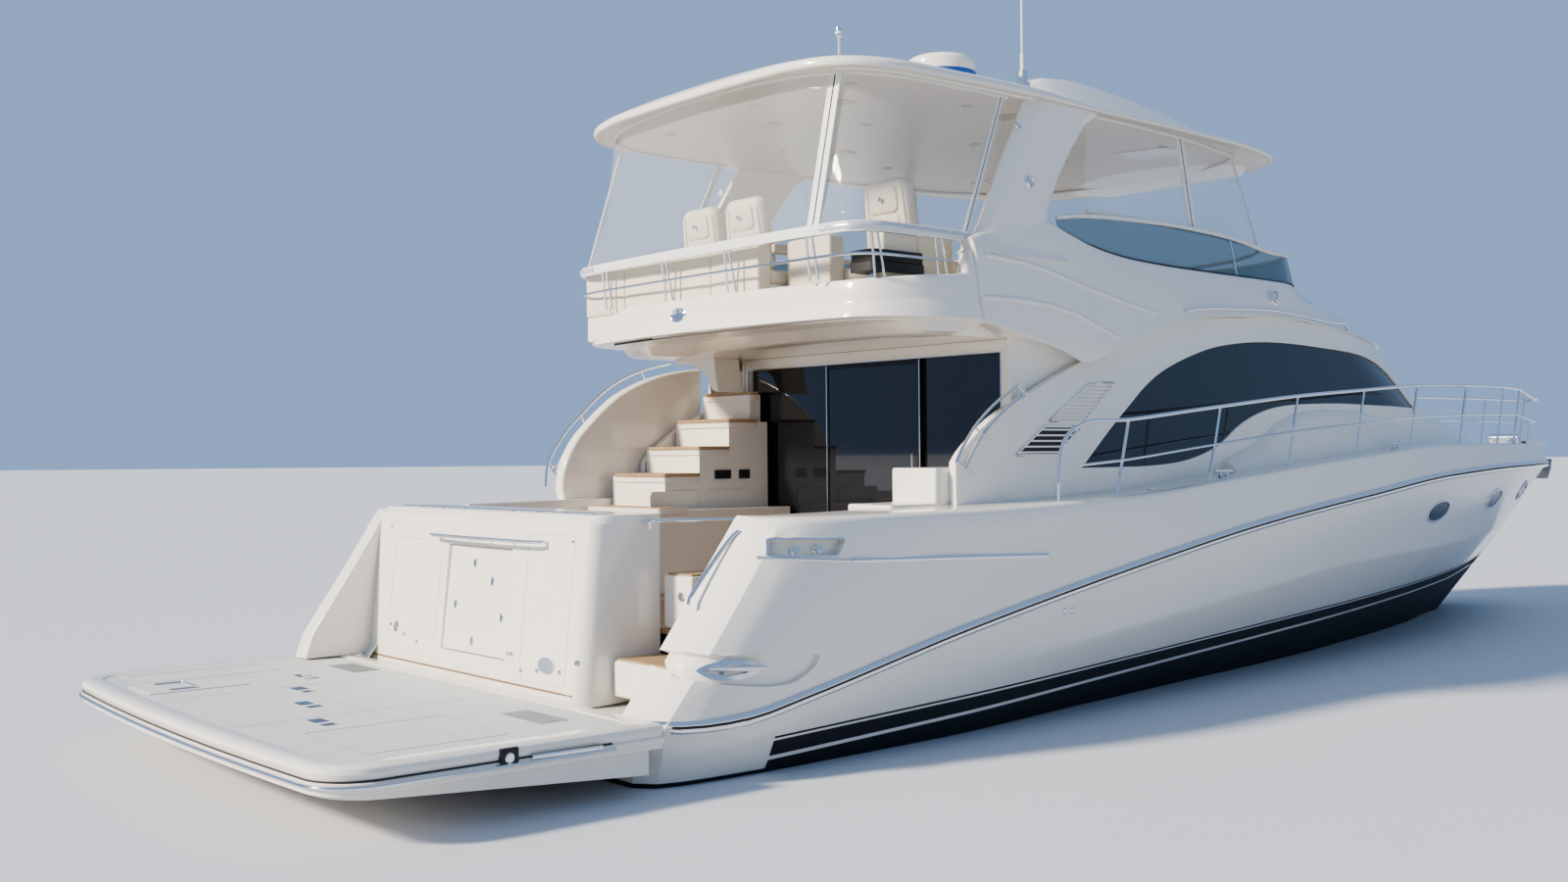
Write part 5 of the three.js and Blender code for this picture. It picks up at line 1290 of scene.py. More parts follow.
def makeTransomRail():
    path = [(-0.93, -7.3, 1.463), (-0.92, -7.385, 1.465), (-0.86, -7.4, 1.465), (0.59, -7.4, 1.465),
            (0.65, -7.385, 1.465), (0.66, -7.3, 1.463)]
    parts = [tubeMesh(smoothPath(path, 0.04), 0.014, 10)]
    for x in (-0.45, -0.13, 0.2):
        parts.append(tubeMesh([(x, -7.4, 1.465), (x, -7.28, 1.462)], 0.009, 8))
    fit("transomHandrail", parts, steel, "transom_rail")
    gate = [(1.22, -6.9, 1.6), (1.34, -6.88, 1.615), (1.96, -6.4, 1.63)]
    hinge = discMesh((1.31, -6.9, 1.56), (0, 0, 1), [(0.012, 0), (0.012, 0.05), (0.008, 0.055)], 14)
    fit("gateBar", [tubeMesh(smoothPath(gate, 0.04), 0.014, 10), hinge], steel, "transom_rail")


makeRubRail()
makeSideStrip()
makeBowRail()
makeBridgeRail()
makeTransomRail()
print("rails made")

# Arch legs with their lights


def makeArchLegs():
    aft = [(-4.46, 3.57), (-4.34, 3.66), (-4.23, 3.8), (-4.15, 3.94), (-3.93, 4.35), (-3.76, 4.62),
           (-3.66, 4.8), (-3.6, 4.88)]
    fore = [(-3.2, 3.57), (-3.36, 3.66), (-3.42, 3.8), (-3.41, 3.98), (-3.26, 4.25), (-3.08, 4.5),
            (-2.86, 4.76), (-2.66, 4.88)]
    rows = []
    for (ya, za), (yf, zf) in zip(aft, fore):
        z = (za + zf) / 2
        inner, outer = 1.84 - (z - 3.6) * 0.03, 1.962 - (z - 3.6) * 0.06
        middle = (ya + yf) / 2
        outer += 0.05 * max(0.0, (3.8 - z) / 0.22) ** 2
        row = [(inner, ya + 0.02, za), (inner, middle, z), (inner, yf - 0.02, zf), (outer - 0.05, yf, zf),
               (outer, yf - 0.1, zf), (outer + 0.006, middle, z), (outer, ya + 0.16, za),
               (outer - 0.06, ya, za)]
        rows.append(np.array(softenLoop(row, [0.02, 0, 0.02, 0.02, 0.05, 0, 0.03, 0.02], 4)))
    dense = []
    for k in range(len(rows) - 1):
        for t in np.linspace(0, 1, 4, endpoint=False):
            dense.append(rows[k] * (1 - t) + rows[k + 1] * t)
    dense.append(rows[-1])
    profile = [(1, -0.004), (1, 0.008), (0.82, 0.014), (0.7, 0.006), (0.66, 0.006), (0.5, 0.012),
               (0.0, 0.014)]
    for side, way in ((1, "stbd"), (-1, "port")):
        fit("ArchLeg" + way, [skinMesh([row * (side, 1, 1) for row in dense])], gelcoat, "arch_leg_" + way,
            smooth=35)
        lamps = []
        for y, z, size in ((-3.68, 4.18, 0.05), (-3.78, 4.62, 0.032)):
            x = side * (1.962 - (z - 3.6) * 0.06 + 0.004)
            lamps.append(discMesh((x, y, z), (side, 0, 0),
                                  [(size * share, along) for share, along in profile], 24))
        fit("courtesyLight" + way, lamps, steel, "arch_leg_" + way)


makeArchLegs()

# Clear curtains with their zipped posts

curtains = {
    "aftLow": [(1.88, -4.3), (1.88, -4.95), (1.865, -5.27), (1.76, -5.42), (1.45, -5.475), (0.7, -5.5),
               (0, -5.51)],
    "aftHigh": [(1.8, -3.78), (1.79, -4.4), (1.75, -4.9), (1.6, -5.2), (1.3, -5.36), (0.7, -5.43),
                (0, -5.45)],
    "foreLow": [(1.79, -2.8), (1.775, -2.2), (1.76, -1.6), (1.7, -0.8)],
    "foreHigh": [(1.79, -2.8), (1.78, -2.2), (1.73, -1.6), (1.62, -0.9)],
    "lowZ": 3.69, "ripple": 0.006, "steps": 10, "columns": 90,
}


def ruledSheet(name, low, high, node, postAt):
    count = len(low)
    verts, faces = [], []
    steps = curtains["steps"]
    for i in range(count):
        for k in range(steps + 1):
            t = k / steps
            p = low[i] * (1 - t) + high[i] * t
            wave = curtains["ripple"] * math.sin(i * 0.83 + 1.7 * math.sin(t * 5.1)) * math.sin(math.pi * t)
            out = np.array((p[0], p[1] + 2.5, 0.0))
            out = out / (np.linalg.norm(out) + 1e-9)
            verts.append(p - out * (0.012 * math.sin(math.pi * t) + wave))
    for i in range(count - 1):
        for k in range(steps):
            a = i * (steps + 1) + k
            faces.append((a, a + steps + 1, a + steps + 2, a + 1))
    sheet = finishMesh(name, verts, faces, clearVinyl, smooth=60)
    thick = sheet.modifiers.new("vinyl", "SOLIDIFY")
    thick.thickness = 0.0015
    place(sheet, "clear_vinyl", node)
    strips, zips = [], []
    for at, double in postAt:
        i = min(count - 2, int(at * (count - 1)))
        t = at * (count - 1) - i
        a, b = low[i] * (1 - t) + low[i + 1] * t, high[i] * (1 - t) + high[i + 1] * t
        along = low[i + 1] - low[i]
        along = along / np.linalg.norm(along)
        out = np.cross(along, (b - a) / np.linalg.norm(b - a))
        if out[0] * a[0] + out[1] * (a[1] + 2.5) < 0:
            out = -out
        for shift in ((-0.034, 0.034) if double else (0.0,)):
            centre = [a + along * shift, b + along * shift]
            corners = [c + along * w + out * o for c in centre for o in (-0.006, 0.008)
                       for w in (-0.028, 0.028)]
            strips.append((corners, boxFaces))
        zips.append(tubeMesh([a + out * 0.006, b + out * 0.006], 0.0045, 6))
    posts = fit(name + "Posts", strips, whiteVinyl, node, bevel=0.003)
    zipped = fit(name + "Zips", zips, blackTrim, node)
    hem = fit(name + "Hems", [tubeMesh(line, size, 8) for line, size in ((low, 0.02), (high, 0.016))],
              whiteVinyl, node)


def makeCurtain(name, node, low, high, postAt):  # a sheet between two lines, made even along both
    runs = []
    share = np.linspace(0, 1, curtains["columns"])
    for line in (low, high):
        line = np.array(smoothPath(bothWays(line), 0.08))
        run = lineRun(line)
        run /= run[-1]
        runs.append(np.column_stack([np.interp(share, run, line[:, k]) for k in range(3)]))
    ruledSheet(name, list(runs[0]), list(runs[1]), node, postAt)


def makeCurtains():
    low = [(x, y, curtains["lowZ"] + 0.025 * max(0, (x - 1.0))) for x, y in curtains["aftLow"]]
    high = [(x, y, roofUnder(x, y) - 0.004) for x, y in curtains["aftHigh"]]
    makeCurtain("curtainAft", "curtain_aft", low, high,
                [(0.012, False), (0.262, True), (0.79, False), (0.988, False)])
    angles = np.linspace(0, math.pi / 2, 14)
    lowFore = [(x, y, 4.06 - 0.012 * (y + 2.8)) for x, y in curtains["foreLow"]]
    lowFore += [(1.64 * math.cos(a), -0.3 + 1.25 * math.sin(a), 4.02 - 0.01 * math.sin(a)) for a in angles]
    highFore = curtains["foreHigh"] + [(1.5 * math.cos(a), -0.5 + 1.12 * math.sin(a)) for a in angles]
    highFore = [(x, y, roofUnder(x, y) - 0.006) for x, y in highFore]
    makeCurtain("curtainFore", "curtain_fore", lowFore, highFore,
                [(0.165, True), (0.325, True), (0.675, True), (0.835, True)])


def makeRailWrap():
    wrapped = makeFinish("silverWrap", (0.66, 0.68, 0.72), 0.3, (0.4, 0.42, 0.46), 0.8, 30.0, metal=0.3,
                        grainScale=60.0)
    wrapPath = smoothPath([(1.885, -4.32, 3.695), (1.885, -4.95, 3.7), (1.875, -5.27, 3.705),
                           (1.77, -5.435, 3.7), (1.5, -5.49, 3.7)], 0.03)
    rows = []
    line = smoothFlat(bothWays(bridgePlan), 0.06)
    for i, (x, y) in enumerate(line):
        along = aheadAt(line, i)
        nx, ny = -along.y, along.x
        rows.append([(x + nx * w, y + ny * w, z)
                     for w, z in ((-0.02, 3.66), (0.02, 3.66), (0.022, 3.7), (0.016, 3.735), (0.0, 3.742),
                                  (-0.016, 3.735), (-0.022, 3.7))])
    fit("railBand", [skinMesh(rows)], whiteVinyl, "bridge_rail", smooth=50)
    sizes = [0.036 + 0.005 * math.sin(i * 1.9) * math.sin(i * 0.7) for i in range(len(wrapPath))]
    fit("wrappedRail", [mirrored(tubeMesh(wrapPath, sizes, 12))], wrapped, "bridge_rail", slot="clear_vinyl",
        smooth=60)


makeCurtains()
makeRailWrap()
print("curtains made")

# Tinted bridge screen

screenRows = [  # y, x, height of lower and upper edge
    (-3.29, 1.898, 3.85, 3.935), (-2.9, 1.888, 3.752, 3.99), (-2.3, 1.873, 3.682, 4.025),
    (-1.6, 1.858, 3.662, 4.04), (-0.69, 1.838, 3.657, 4.01), (0.13, 1.78, 3.657, 3.93)]
screenLook = {"half": 1.78, "bow": 1.15, "centreY": 0.13, "highZ": 3.93, "lean": 0.07, "thick": 0.01}


def makeScreen():
    half = [(x, y, low, high) for y, x, low, high in screenRows]
    for a in np.linspace(0, math.pi / 2, 12)[1:]:
        half.append((screenLook["half"] * math.cos(a),
                     screenLook["centreY"] + screenLook["bow"] * math.sin(a), 3.657,
                     screenLook["highZ"] + 0.04 * math.sin(a)))
    line = np.array(bothWays(half))
    path = np.array(smoothFlat(line, 0.08))
    run = lineRun(path)
    knots = [int(np.argmin(np.linalg.norm(path - p[:2], axis=1))) for p in line]
    low = monotone(run[knots], line[:, 2], run)
    high = monotone(run[knots], line[:, 3], run)
    lower, upper, outs = [], [], []
    for i, p in enumerate(path):
        along = path[min(i + 1, len(path) - 1)] - path[max(i - 1, 0)]
        out = np.array((along[1], -along[0], 0.0)) / (np.linalg.norm(along) + 1e-9)
        out = out if out[0] * p[0] + out[1] * (p[1] + 1) > 0 else -out
        lower.append(np.array((p[0], p[1], low[i])))
        upper.append(np.array((p[0], p[1], high[i])) - out * screenLook["lean"] * (high[i] - low[i]) / 0.35)
        outs.append(out)
    rows = [[a, b, b - o * screenLook["thick"], a - o * screenLook["thick"]]
            for a, b, o in zip(lower, upper, outs)]
    fit("bridgeScreen", [skinMesh(rows)], tint, "bridge_windscreen", smooth=40)
    fit("screenGasket", [tubeMesh([p + o * 0.002 for p, o in zip(lower, outs)], 0.016, 8)], blackTrim,
        "bridge_windscreen")
    fit("screenTopStrip", [tubeMesh([p + (0, 0, 0.012) for p in upper], 0.02, 10)], whiteVinyl,
        "bridge_windscreen")
    bars = []
    for share in (0.235, 0.345, 0.42, 0.58, 0.655, 0.765):
        i = int(len(path) * share)
        bars.append(tubeMesh([lower[i] + outs[i] * 0.004, upper[i] + outs[i] * 0.004], 0.011, 6))
    fit("screenMullions", bars, steel, "bridge_windscreen")


makeScreen()
print("bridge screen made")

# Upholstery


def cushion(size, edge, puff):  # a stuffed block round the origin
    marks = []
    for length in size:
        low, high = -length / 2, length - length / 2
        soft = min(edge, (high - low) * 0.25)
        marks.append([low, low + soft, (low + high) / 2, high - soft, high])
    verts, faces, index = [], [], {}

    def vertex(*at):
        if at not in index:
            index[at] = len(verts)
            p = [marks[axis][at[axis]] for axis in range(3)]
            for axis in range(3):
                if at[axis] in (0, 4) and all(0 < k < 4 for k in at[:axis] + at[axis + 1:]):
                    p[axis] += puff if at[axis] else -puff
            verts.append(tuple(p))
        return index[at]

    for axis, end in ((axis, end) for axis in range(3) for end in (0, 4)):
        for a, b in ((a, b) for a in range(4) for b in range(4)):
            corners = [(a, b), (a + 1, b), (a + 1, b + 1), (a, b + 1)]
            faces.append(tuple(vertex(*at[:axis], end, *at[axis:]) for at in corners))
    return verts, faces


def moved(part, centre, turn=0.0):
    spin = Matrix.Translation(centre) @ Matrix.Rotation(turn, 4, "Z")
    return [tuple(spin @ Vector(v)) for v in part[0]], part[1]


def upholstered(name, parts, node, stuffed=True):
    obj = finishMesh(name, *joined(parts), upholstery, smooth=60, weld=1e-6 if stuffed else 1e-4)
    if stuffed:
        soft = obj.modifiers.new("stuffing", "SUBSURF")
        soft.levels = soft.render_levels = 2
    place(obj, "upholstery", node)


def pillow(loop, thick, toSpace):  # a stuffed panel: rounded edges and a fuller middle
    steps = [(0.0, 0.0), (0.002, 0.3), (0.008, 0.62), (0.02, 0.86), (0.036, 1.0)]
    sides = []
    for way in (1, -1):
        rings = [[(p[0], p[1], way * share * thick / 2)
                  for p in insetLoop(loop, inset * min(1, thick / 0.08) + 1e-5)] for inset, share in steps]
        edge = ([toSpace(*p) for ring in rings for p in ring], ringFaces(len(rings), len(loop)))
        made, kept = fillLoops([[p[:2] for p in rings[-1]]], 0.2, divide=False)
        inner = ([toSpace(p[0], p[1], way * thick / 2) for p in made], kept)
        both = joined([edge, inner])
        sides.append(both if way > 0 else (both[0], [tuple(reversed(face)) for face in both[1]]))
    return joined(sides)


helmSeat = {"depth": 0.52, "seatZ": 3.62, "backHeight": 0.66, "recline": 0.13, "armOut": 0.262}
seatFoot = [(0.17, 0), (0.17, 0.012), (0.06, 0.03), (0.05, 0.35), (0.05, 0.38), (0.14, 0.39), (0.14, 0.4)]


def makeHelmSeat(node, label):
    low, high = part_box(node)
    x, back = (low[0] + high[0]) / 2, low[1]
    seatY = high[1] - helmSeat["depth"] / 2 - 0.03
    armOut, backH = helmSeat["armOut"], helmSeat["backHeight"]
    parts = [moved(cushion((0.54, helmSeat["depth"], 0.15), 0.04, 0.014),
                   (x, seatY, helmSeat["seatZ"] - 0.06))]
    for side in (-1, 1):
        parts.append(moved(cushion((0.075, 0.4, 0.075), 0.025, 0.006),
                           (x + side * armOut, seatY - 0.02, 3.82)))
    upholstered(label + "Seat", parts, node)
    lean = Matrix.Translation((x, back + 0.13, 3.62)) @ Matrix.Rotation(helmSeat["recline"], 4, "X")

    def onBack(depth):  # across and up on the leaning back, depth aft
        return lambda u, v, d: tuple(lean @ Vector((u, -depth - d + 0.028 * (u / 0.27) ** 2 + 0.02 * v, v)))

    shape = rounded([(-0.27, 0.0), (0.27, 0.0), (0.245, backH), (-0.245, backH)], 0.1, 8)
    upholstered(label + "Back", [pillow(shape, 0.125, onBack(0.0))], node, False)
    panels = []
    lower = rounded([(-0.17, 0.06), (0.17, 0.06), (0.165, 0.37), (-0.165, 0.37)], 0.045)
    upper = rounded([(-0.165, 0.385), (0.165, 0.385), (0.15, 0.6), (-0.15, 0.6)], 0.05)
    for depth in (0.064, -0.064):
        panels += [pillow(loop, 0.022, onBack(depth)) for loop in (lower, upper)]
        for side in (-1, 1):
            bolster = [(side * 0.185, 0.06), (side * 0.24, 0.08), (side * 0.215, 0.59), (side * 0.175, 0.59)]
            panels.append(pillow(rounded(bolster, 0.02), 0.014, onBack(depth)))
    upholstered(label + "BackPanels", panels, node, False)
    frameParts = [discMesh((x, seatY, 3.081), (0, 0, 1), seatFoot, 28)]
    for side in (-1, 1):
        arm = [(x + side * armOut, back + 0.14, 3.7), (x + side * armOut, back + 0.13, 3.78),
               (x + side * armOut, seatY + 0.12, 3.785)]
        frameParts.append(tubeMesh(smoothPath(arm, 0.03), 0.016, 8))
    button = tuple(lean @ Vector((0, -0.082, 0.5)))
    frameParts.append(discMesh(button, (0, -1, 0.13), [(0.02, 0), (0.02, 0.004), (0.0, 0.006)], 16))
    shell = boxMesh(x - 0.25, x + 0.25, seatY - 0.24, seatY + 0.24, 3.47, 3.5)
    fit(label + "Pedestal", frameParts, steel, node)
    fit(label + "Shell", [shell], gelcoat, node, bevel=0.012)


def makeBench(node, label, base, seats, backs):  # base boxes, seat cushions and back cushions as extents
    fit(label + "Base", [boxMesh(*b) for b in base], gelcoat, node, bevel=0.02)
    for name, boxes in (("Cushions", seats), ("Backs", backs)):
        parts = []
        for x0, x1, y0, y1, z0, z1 in boxes:
            part = cushion((x1 - x0, y1 - y0, z1 - z0), 0.03, 0.008)
            parts.append(moved(part, ((x0 + x1) / 2, (y0 + y1) / 2, (z0 + z1) / 2)))
        upholstered(label + name, parts, node)


def makeSeating():
    for way in ("port", "centre", "stbd"):
        makeHelmSeat("helm_seat_" + way, way + "Helm")
    gap, backWide, sofaWide = 0.006, 0.615, 0.828
    aftBacks = [(-1.8 + backWide * k + gap, -1.8 + backWide * (k + 1) - gap, -5.4, -5.27, 3.3, 3.72)
                for k in range(4)]
    makeBench("bridge_lounge", "lounge",
              [(-1.8, 0.66, -5.39, -5.28, 3.0803, 3.3), (-1.79, 0.65, -5.28, -4.95, 3.0803, 3.4),
               (1.11, 1.69, -5.07, -4.32, 3.0803, 3.36), (0.72, 1.2, -5.14, -5.0, 3.0803, 3.36)],
              [(-1.79, -0.575, -5.27, -4.935, 3.4, 3.5), (-0.565, 0.65, -5.27, -4.935, 3.4, 3.5),
               (1.105, 1.59, -4.98, -4.31, 3.36, 3.48)],
              aftBacks + [(0.7, 1.2, -5.14, -4.99, 3.34, 3.73), (1.6, 1.695, -5.05, -4.69, 3.36, 3.7),
                          (1.6, 1.695, -4.68, -4.31, 3.36, 3.7)])
    thirds = [(-1.295, -0.44), (-0.43, 0.43), (0.44, 1.295)]
    makeBench("bridge_settee", "settee", [(-1.28, 1.28, -0.88, 0.14, 3.0803, 3.36)],
              [(x0, x1, -0.895, -0.1, 3.36, 3.48) for x0, x1 in thirds],
              [(x0, x1, -0.1, 0.145, 3.36, 3.755) for x0, x1 in thirds])
    along = [(-3.09 + sofaWide * k + gap, -3.09 + sofaWide * (k + 1) - gap) for k in range(3)]
    makeBench("saloon_sofa", "sofa", [(-1.87, -1.17, -3.09, -0.61, 0.8705, 1.2)],
              [(-1.66, -1.16, y0, y1, 1.2, 1.34) for y0, y1 in along],
              [(-1.875, -1.67, y0, y1, 1.2, 1.695) for y0, y1 in along])


def makeGrill():
    lid = rounded([(-5.22, -0.14), (-4.66, -0.14), (-4.66, 0.14), (-5.22, 0.14)], 0.05)
    grill = [panelMesh([lid], lambda u, v, d: (1.62 + v, u, 3.47 - d), 0.07, 0.3),
             panelMesh([insetLoop(lid, 0.01)], lambda u, v, d: (1.62 + v, u, 3.56 - d), 0.085, 0.3),
             tubeMesh([(1.78, -5.1, 3.5), (1.8, -5.1, 3.5), (1.8, -4.8, 3.5), (1.78, -4.8, 3.5)], 0.008, 8)]
    fit("bridgeGrill", grill, blackTrim, bevel=0.012)
    stand = [tubeMesh([(1.62, y, 3.08), (1.62, y, 3.41)], 0.02, 10) for y in (-5.1, -4.8)]
    fit("grillStand", stand, steel)


makeSeating()
makeGrill()
print("seats made")

# Masthead gear

blueBand = makeFinish("blueBand", (0.02, 0.11, 0.42), 0.3, (0.05, 0.1, 0.25))


def makeMasthead():
    foot = [(0.15, 5.05), (0.11, 5.33), (0.1, 5.395), (0.27, 5.402), (0.3, 5.41), (0.315, 5.43),
            (0.325, 5.46), (0.328, 5.53)]
    dome = [(0.328, 5.53), (0.328, 5.6), (0.322, 5.63), (0.305, 5.655), (0.27, 5.675), (0.2, 5.69),
            (0.1, 5.698), (0.0, 5.7)]
    radarAt, lightAt = (0.0, -2.65, 0.04), (0, -3.93, 0)
    low = discMesh(radarAt, (0, 0, 1), foot, 48)
    fit("radarFoot", [low], blueBand, "radar_dome", slot="gelcoat", smooth=40)
    fit("radarDome", [discMesh(radarAt, (0, 0, 1), dome, 48)], gelcoat, "radar_dome", smooth=40)
    profile = [(0.03, 5.175), (0.03, 5.19), (0.0125, 5.2), (0.0115, 5.69), (0.018, 5.7), (0.03, 5.71),
               (0.03, 5.76), (0.026, 5.785), (0.0, 5.8)]
    post = discMesh(lightAt, (0, 0, 1), profile, 20)
    fit("lightPost", [post], steel, "mast_light", smooth=35)
    lens = discMesh(lightAt, (0, 0, 1), [(0.0315, 5.725), (0.0315, 5.75)], 20)
    fit("lightLens", [lens], makeFinish("clearLens", (0.85, 0.88, 0.9), 0.1, (0.6, 0.6, 0.6)), "mast_light",
        slot="clear_vinyl", smooth=35)


makeMasthead()
print("masthead made")

# Fittings set on the curved surfaces


def caster(obj, way):  # maps two coordinates to a surface point and its normal, seen along x, y or z
    starts = {"x": lambda u, v: ((4, u, v), (-1, 0, 0)), "-x": lambda u, v: ((-4, u, v), (1, 0, 0)),
              "-y": lambda u, v: ((u, -12, v), (0, 1, 0)), "z": lambda u, v: ((u, v, 8), (0, 0, -1))}

    def hit(u, v):
        start, aim = starts[way](u, v)
        found, point, normal, _ = obj.ray_cast(Vector(start), Vector(aim))
        if not found:
            return Vector(start) + Vector(aim) * 3, -Vector(aim)
        return point, normal
    return hit


def lifted(found, height):  # a point of the surface moved out along its normal
    return tuple(found[0] + found[1] * height)


def discOn(found, height, profile, sides):
    return discMesh(lifted(found, height), tuple(found[1]), profile, sides)


def plateOn(hit, loops, rise, sink, step=0.08):
    return panelMesh(loops, lambda u, v, d: lifted(hit(u, v), rise - d), rise + sink, step)


def frameStripOn(hit, loop, width, rise, sink):
    return plateOn(hit, [loop, insetLoop(loop, width)], rise, sink, 0.2)


def ovalOn(hit, u, v, a, b, lean):  # chrome ring and dark pane as two meshes
    ring, wide = [], 0.02
    turn = math.radians(lean)
    for k in range(40):
        t = k / 40 * 2 * math.pi
        du, dv = a * math.cos(t), b * math.sin(t)
        ring.append((u + du * math.cos(turn) - dv * math.sin(turn),
                     v + du * math.sin(turn) + dv * math.cos(turn)))
    inner = [(u + (p[0] - u) * (1 - wide / a), v + (p[1] - v) * (1 - wide / b)) for p in ring]
    return plateOn(hit, [ring, inner], 0.012, 0.01, 0.2), plateOn(hit, [inner], 0.003, 0.01, 0.2)


def cleat(x, y, z, turn):
    size = 0.13
    foot = [(0.026, 0), (0.024, 0.006), (0.012, 0.016), (0.011, 0.046)]
    bar = tubeMesh([(-size, 0, 0.05), (-size * 0.6, 0, 0.046), (size * 0.6, 0, 0.046), (size, 0, 0.05)],
                   [0.009, 0.013, 0.013, 0.009], 10)
    feet = [discMesh((s * size * 0.35, 0, 0), (0, 0, 1), foot, 16) for s in (-1, 1)]
    return moved(joined([bar] + feet), (x, y, z), turn)


bpy.context.view_layer.update()
pieces = {name: bpy.data.objects[name] for name in
          ("hullShell", "deckMoulding", "houseShell", "transomModule", "bridgeMoulding")}


def makePortholes():
    rings, panes = [], []
    outlet = [(0.026, -0.004), (0.026, 0.006), (0.018, 0.009), (0.014, 0.002), (0.0, 0.002)]
    for way in ("x", "-x"):
        hit = caster(pieces["hullShell"], way)
        for y, z, a in ((2.2, 1.42, 0.27), (3.95, 1.5, 0.25), (5.5, 1.55, 0.2)):
            ring, pane = ovalOn(hit, y, z, a, 0.11, 9.0)
            rings.append(ring)
            panes.append(pane)
        rings += [discOn(hit(y, 0.86), 0.0, outlet, 18) for y in (-3.88, -3.79)]
    fit("portholeRings", rings, steel, "hull", smooth=35, bevel=0.003)
    fit("portholePanes", panes, darkGlass, "hull", smooth=35)


def makeQuarterCleats():  # a horn in its mooring pocket, and two bollards in a rimmed opening above
    mooring = [(-7.36, 0.81), (-7.0, 0.8), (-6.3, 0.74), (-6.48, 0.6), (-7.05, 0.63), (-7.3, 0.7)]
    lip = [(-7.17, 0.72), (-7.0, 0.775), (-6.8, 0.75), (-6.74, 0.71), (-6.84, 0.66), (-7.06, 0.655)]
    mooring, lip = curveLoop(mooring, 0.07), curveLoop(lip, 0.04)
    posts = rounded([(-6.58, 1.52), (-6.05, 1.505), (-6.13, 1.385), (-6.63, 1.395)], 0.025)
    bollard = [(0.034, 0), (0.03, 0.008), (0.014, 0.014), (0.014, 0.045), (0.026, 0.052), (0.026, 0.062),
               (0.0, 0.066)]
    stem = [(0.03, 0), (0.016, 0.02), (0.016, 0.075)]
    for way, label in (("x", "Stbd"), ("-x", "Port")):
        cut = caster(pieces["deckMoulding"], way)
        points = [cut(-7.02, 0.72), cut(-6.86, 0.71)]
        near = [cut(y, 1.44) for y in (-6.43, -6.27)]
        metal = [frameStripOn(cut, lip, 0.03, -0.012, 0.036)]
        normal = points[0][1]
        rim = frameStripOn(cut, posts, 0.012, 0.004, 0.006)
        cutters = [plateOn(cut, [mooring], 0.04, 0.035, 0.07), plateOn(cut, [posts], 0.04, 0.06, 0.07)]
        carve(pieces["deckMoulding"], cutters, 28)
        start, end = (found[0] - found[1] * 0.02 for found in points)
        horn = end - start
        metal.append(tubeMesh([tuple(start - horn * 0.6 + normal * 0.05), tuple(start + normal * 0.05),
                               tuple(end + normal * 0.05), tuple(end + horn * 0.9 + normal * 0.045)],
                              [0.012, 0.019, 0.019, 0.011], 10))
        metal += [discOn(found, -0.036, stem, 16) for found in points]
        metal += [discOn(found, -0.06, bollard, 18) for found in near] + [rim]
        fit("quarterCleat" + label, metal, steel, "hull", smooth=35)


makePortholes()
makeQuarterCleats()

swageLines = {  # raised creases on the bridge's flanks: points (y, z) from aft
    "tongue": [(-4.9, 3.175), (-4.37, 3.22), (-3.79, 3.217), (-3.33, 3.155), (-2.8, 2.99)],
    "shoulder": [(-4.3, 3.555), (-3.74, 3.51), (-3.06, 3.37), (-2.2, 3.215)],
}
swageLook = {"radius": 0.026, "sunk": 0.013}


def makeSwages():
    beads = []
    for way in ("x", "-x"):
        hit = caster(pieces["bridgeMoulding"], way)
        for line in swageLines.values():
            path = [lifted(hit(y, z), -swageLook["sunk"]) for y, z in smoothFlat(line, 0.08)]
            beads.append(tubeMesh(path, swageLook["radius"], 12))
    fit("flankSwages", beads, gelcoat, "flybridge", smooth=60)


def makeLouvres():
    low = rounded([(-4.02, 2.03), (-3.5, 2.03), (-3.2, 2.265), (-3.66, 2.265)], 0.02)
    high = rounded([(-3.62, 2.295), (-3.16, 2.295), (-2.74, 2.63), (-3.08, 2.61)], 0.02)
    dark, slats, rims = [], [], []
    for way in ("x", "-x"):
        hit = caster(pieces["houseShell"], way)
        dark.append(plateOn(hit, [insetLoop(low, 0.004)], 0.0035, 0.004))
        for k in range(5):
            z, y0, y1 = 2.05 + 0.044 * k, -3.99 + k * 0.073, -3.5 + k * 0.058
            slat = [(y0, z), (y1, z), (y1 + 0.008, z + 0.014), (y0 + 0.012, z + 0.014)]
            slats.append(plateOn(hit, [slat], 0.017, 0.002))
        rims.append(frameStripOn(hit, low, 0.014, 0.014, 0.004))
        rims.append(frameStripOn(hit, high, 0.012, 0.012, 0.004))
        for k in range(10):
            t = (k + 0.5) / 10
            z, y0, y1 = 2.3 + 0.31 * t, -3.6 + 0.53 * t, -3.15 + 0.41 * t
            slat = [(y0, z), (y1, z), (y1 + 0.01, z + 0.013), (y0 + 0.012, z + 0.013)]
            slats.append(plateOn(hit, [slat], 0.012, 0.002))
    fit("louvreBacks", dark, blackTrim, "house")
    fit("louvreSlats", slats, gelcoat, "house")
    fit("louvreRims", rims, gelcoat, "house", bevel=0.003)


def makeBrowRails():
    top = [(-1.75, 3.25), (-1.08, 3.31), (-0.29, 3.33), (0.57, 3.27), (1.11, 3.21)]
    bars = []
    for way in ("x", "-x"):
        hit = caster(pieces["bridgeMoulding"], way)
        path = [lifted(hit(y, max(z, 3.26)), 0.035) for y, z in top]
        ends = [hit(top[0][0] - 0.05, top[0][1])[0], hit(top[-1][0] + 0.06, max(top[-1][1], 3.24))[0]]
        bars.append(tubeMesh(smoothPath([tuple(ends[0])] + path + [tuple(ends[1])], 0.05), 0.012, 8))
    fit("browRails", bars, steel, "house", smooth=40)


